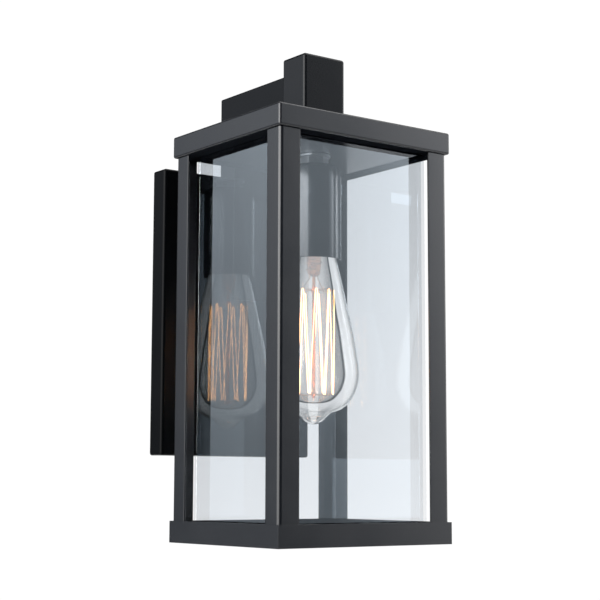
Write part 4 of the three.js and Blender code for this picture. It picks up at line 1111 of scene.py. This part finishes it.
def hook_wires(bm, hub, first, lift):
    """Fine wires that reach from a glass button to a hook round each bend of the filament."""
    for i in range(HAIRPINS):
        turn = 2 * math.pi * (2 * i + first) / (2 * HAIRPINS)
        tip = CAGE_RADIUS + HOOK_PAST
        points = [around(WIRE_START, turn, hub)]
        points += [
            around(CAGE_RADIUS * f, turn, hub - lift * WIRE_SAG * math.sin(math.pi * f)) for f in WIRE_SAG_AT
        ]
        points += [
            around(tip - HOOK + HOOK * math.sin(a), turn, hub + lift * HOOK * (1 - math.cos(a)) * HOOK_RISE)
            for a in (math.radians(d) for d in HOOK_DEGREES)
        ]
        tube(bm, points, WIRE_RADIUS, WIRE_SIDES)


def lead_wires(bm):
    """The two leads from the press to the filament, each with its coil round the press."""
    for side in (-1, 1):
        lead = [around(r * MM * side, turn, over_tip(z)) for r, turn, z in LEAD_ROUTE]
        lead.append(
            around((CAGE_RADIUS - LEAD_END_IN) * side, LEAD_END_TURN, HUB_HIGH + LEAD_END_OVER_HUB)
        )
        tube(bm, lead, LEAD_RADIUS, LEAD_SIDES)
        coil = [
            around(
                (COIL_REACH + COIL_SWING * math.sin(COIL_SWING_RATE * k)) * MM,
                side * COIL_TURN * k,
                over_tip(COIL_TOP - COIL_DROP * k),
            )
            for k in range(COIL_POINTS)
        ]
        tube(bm, coil, COIL_RADIUS, COIL_SIDES)


def make_supports():
    for name, hub, first, lift in (("support_high", HUB_HIGH, 0, -1), ("support_low", HUB_LOW, 1, 1)):
        bm = bmesh.new()
        hook_wires(bm, hub, first, lift)
        if name == "support_high":
            lead_wires(bm)
        piece(name + "_wires", from_bmesh(name, bm), WIRE, LAMP, "support_wire", name)


def make_filament():
    """One wire that zigzags between the upper and lower hooks."""
    path = []
    for i in range(2 * HAIRPINS):
        turn = math.pi * i / HAIRPINS
        z, past = (HUB_HIGH - BEND, BEND * BEND_OUT) if i % 2 == 0 else (HUB_LOW + BEND, -BEND * BEND_OUT)
        for a in (-BEND_HALF_TURN, 0, BEND_HALF_TURN):
            path.append(around(CAGE_RADIUS - FILAMENT_IN, turn + a, z + past * (a == 0)))
    wire = []
    for a, b in zip(path, path[1:]):
        strand = (a - b).length > STRAND_LEAST
        steps = STRAND_STEPS if strand else BEND_STEPS
        for k in range(steps):
            p = a.lerp(b, k / steps)
            if strand:
                out = Vector((p.x - LAMP_X, p.y - LAMP_Y, 0)).normalized()
                p = p + out * (FILAMENT_BOW * math.sin(math.pi * (k / steps)))
            wire.append(p)
    bm = bmesh.new()
    tube(bm, [*wire, path[-1]], FILAMENT_RADIUS, FILAMENT_SIDES)
    mesh = from_bmesh("filament_strands", bm)
    piece("filament_strands", mesh, GLOW, LAMP, "glowing_filament", "filament")


# ---- CAD nodes that stay ----------------------------------------------------------------------

# The rounding of their edges, in millimetres.
ROUND_MM = {
    "base_ring": 0.45,
    "ceiling_tray": 0.4,
    "mounting_crossbar": 0.3,
    "lampholder_body": 0.5,
    "wall_gasket": 0.5,
    "pane_front": 0.35,
    "pane_rear": 0.35,
    "pane_left": 0.35,
    "pane_right": 0.35,
}
PLAIN_ROUND_MM = 0.2
ROUND_SEGMENTS = 3
SHARP_EDGE = math.radians(40)
FLAT_WITHIN = math.radians(0.5)
WELD_WITHIN = 2e-6
LEADS = ("live_lead", "neutral_lead", "earth_lead")


def dress_cad_nodes():
    slots = {s["node"]: s["material_slot"] for s in frame["record"]["subparts"]}
    for name, node in frame["nodes"].items():
        if not node.data.materials:
            node.data.materials.append(None)
        for holder in node.material_slots:
            holder.material = SHADED_CEILING_PAINT if name == "ceiling_tray" else BY_SLOT[slots[name]]
        node.modifiers.new("weld", "WELD").merge_threshold = WELD_WITHIN
        if name in LEADS:
            rounder = node.modifiers.new("round", "SUBSURF")
            rounder.levels = rounder.render_levels = 1
            continue
        flat = node.modifiers.new("flat", "DECIMATE")
        flat.decimate_type = "DISSOLVE"
        flat.angle_limit = FLAT_WITHIN
        edge = node.modifiers.new("edge", "BEVEL")
        edge.width = ROUND_MM.get(name, PLAIN_ROUND_MM) * MM
        edge.segments = ROUND_SEGMENTS
        edge.limit_method = "ANGLE"
        edge.angle_limit = SHARP_EDGE


FLOOR_Z = -1.3
FLOOR_RADII = (0, 0.4, 1.2, 2.6)


def make_floor():
    mesh = from_bmesh("floor", lathe([(radius, FLOOR_Z) for radius in FLOOR_RADII], AROUND))
    mesh.materials.append(FLOOR)
    mesh.shade_smooth()
    floor = bpy.data.objects.new("floor", mesh)
    bpy.context.scene.collection.objects.link(floor)


make_camera()
make_world()
make_softbox()
bpy.context.scene.view_settings.view_transform = "Standard"
make_floor()
dress_cad_nodes()
make_posts()
make_roof()
make_block()
make_arm()
make_backplate()
make_cup()
make_envelope()
make_cap()
make_screw_shell()
make_stem()
make_supports()
make_filament()
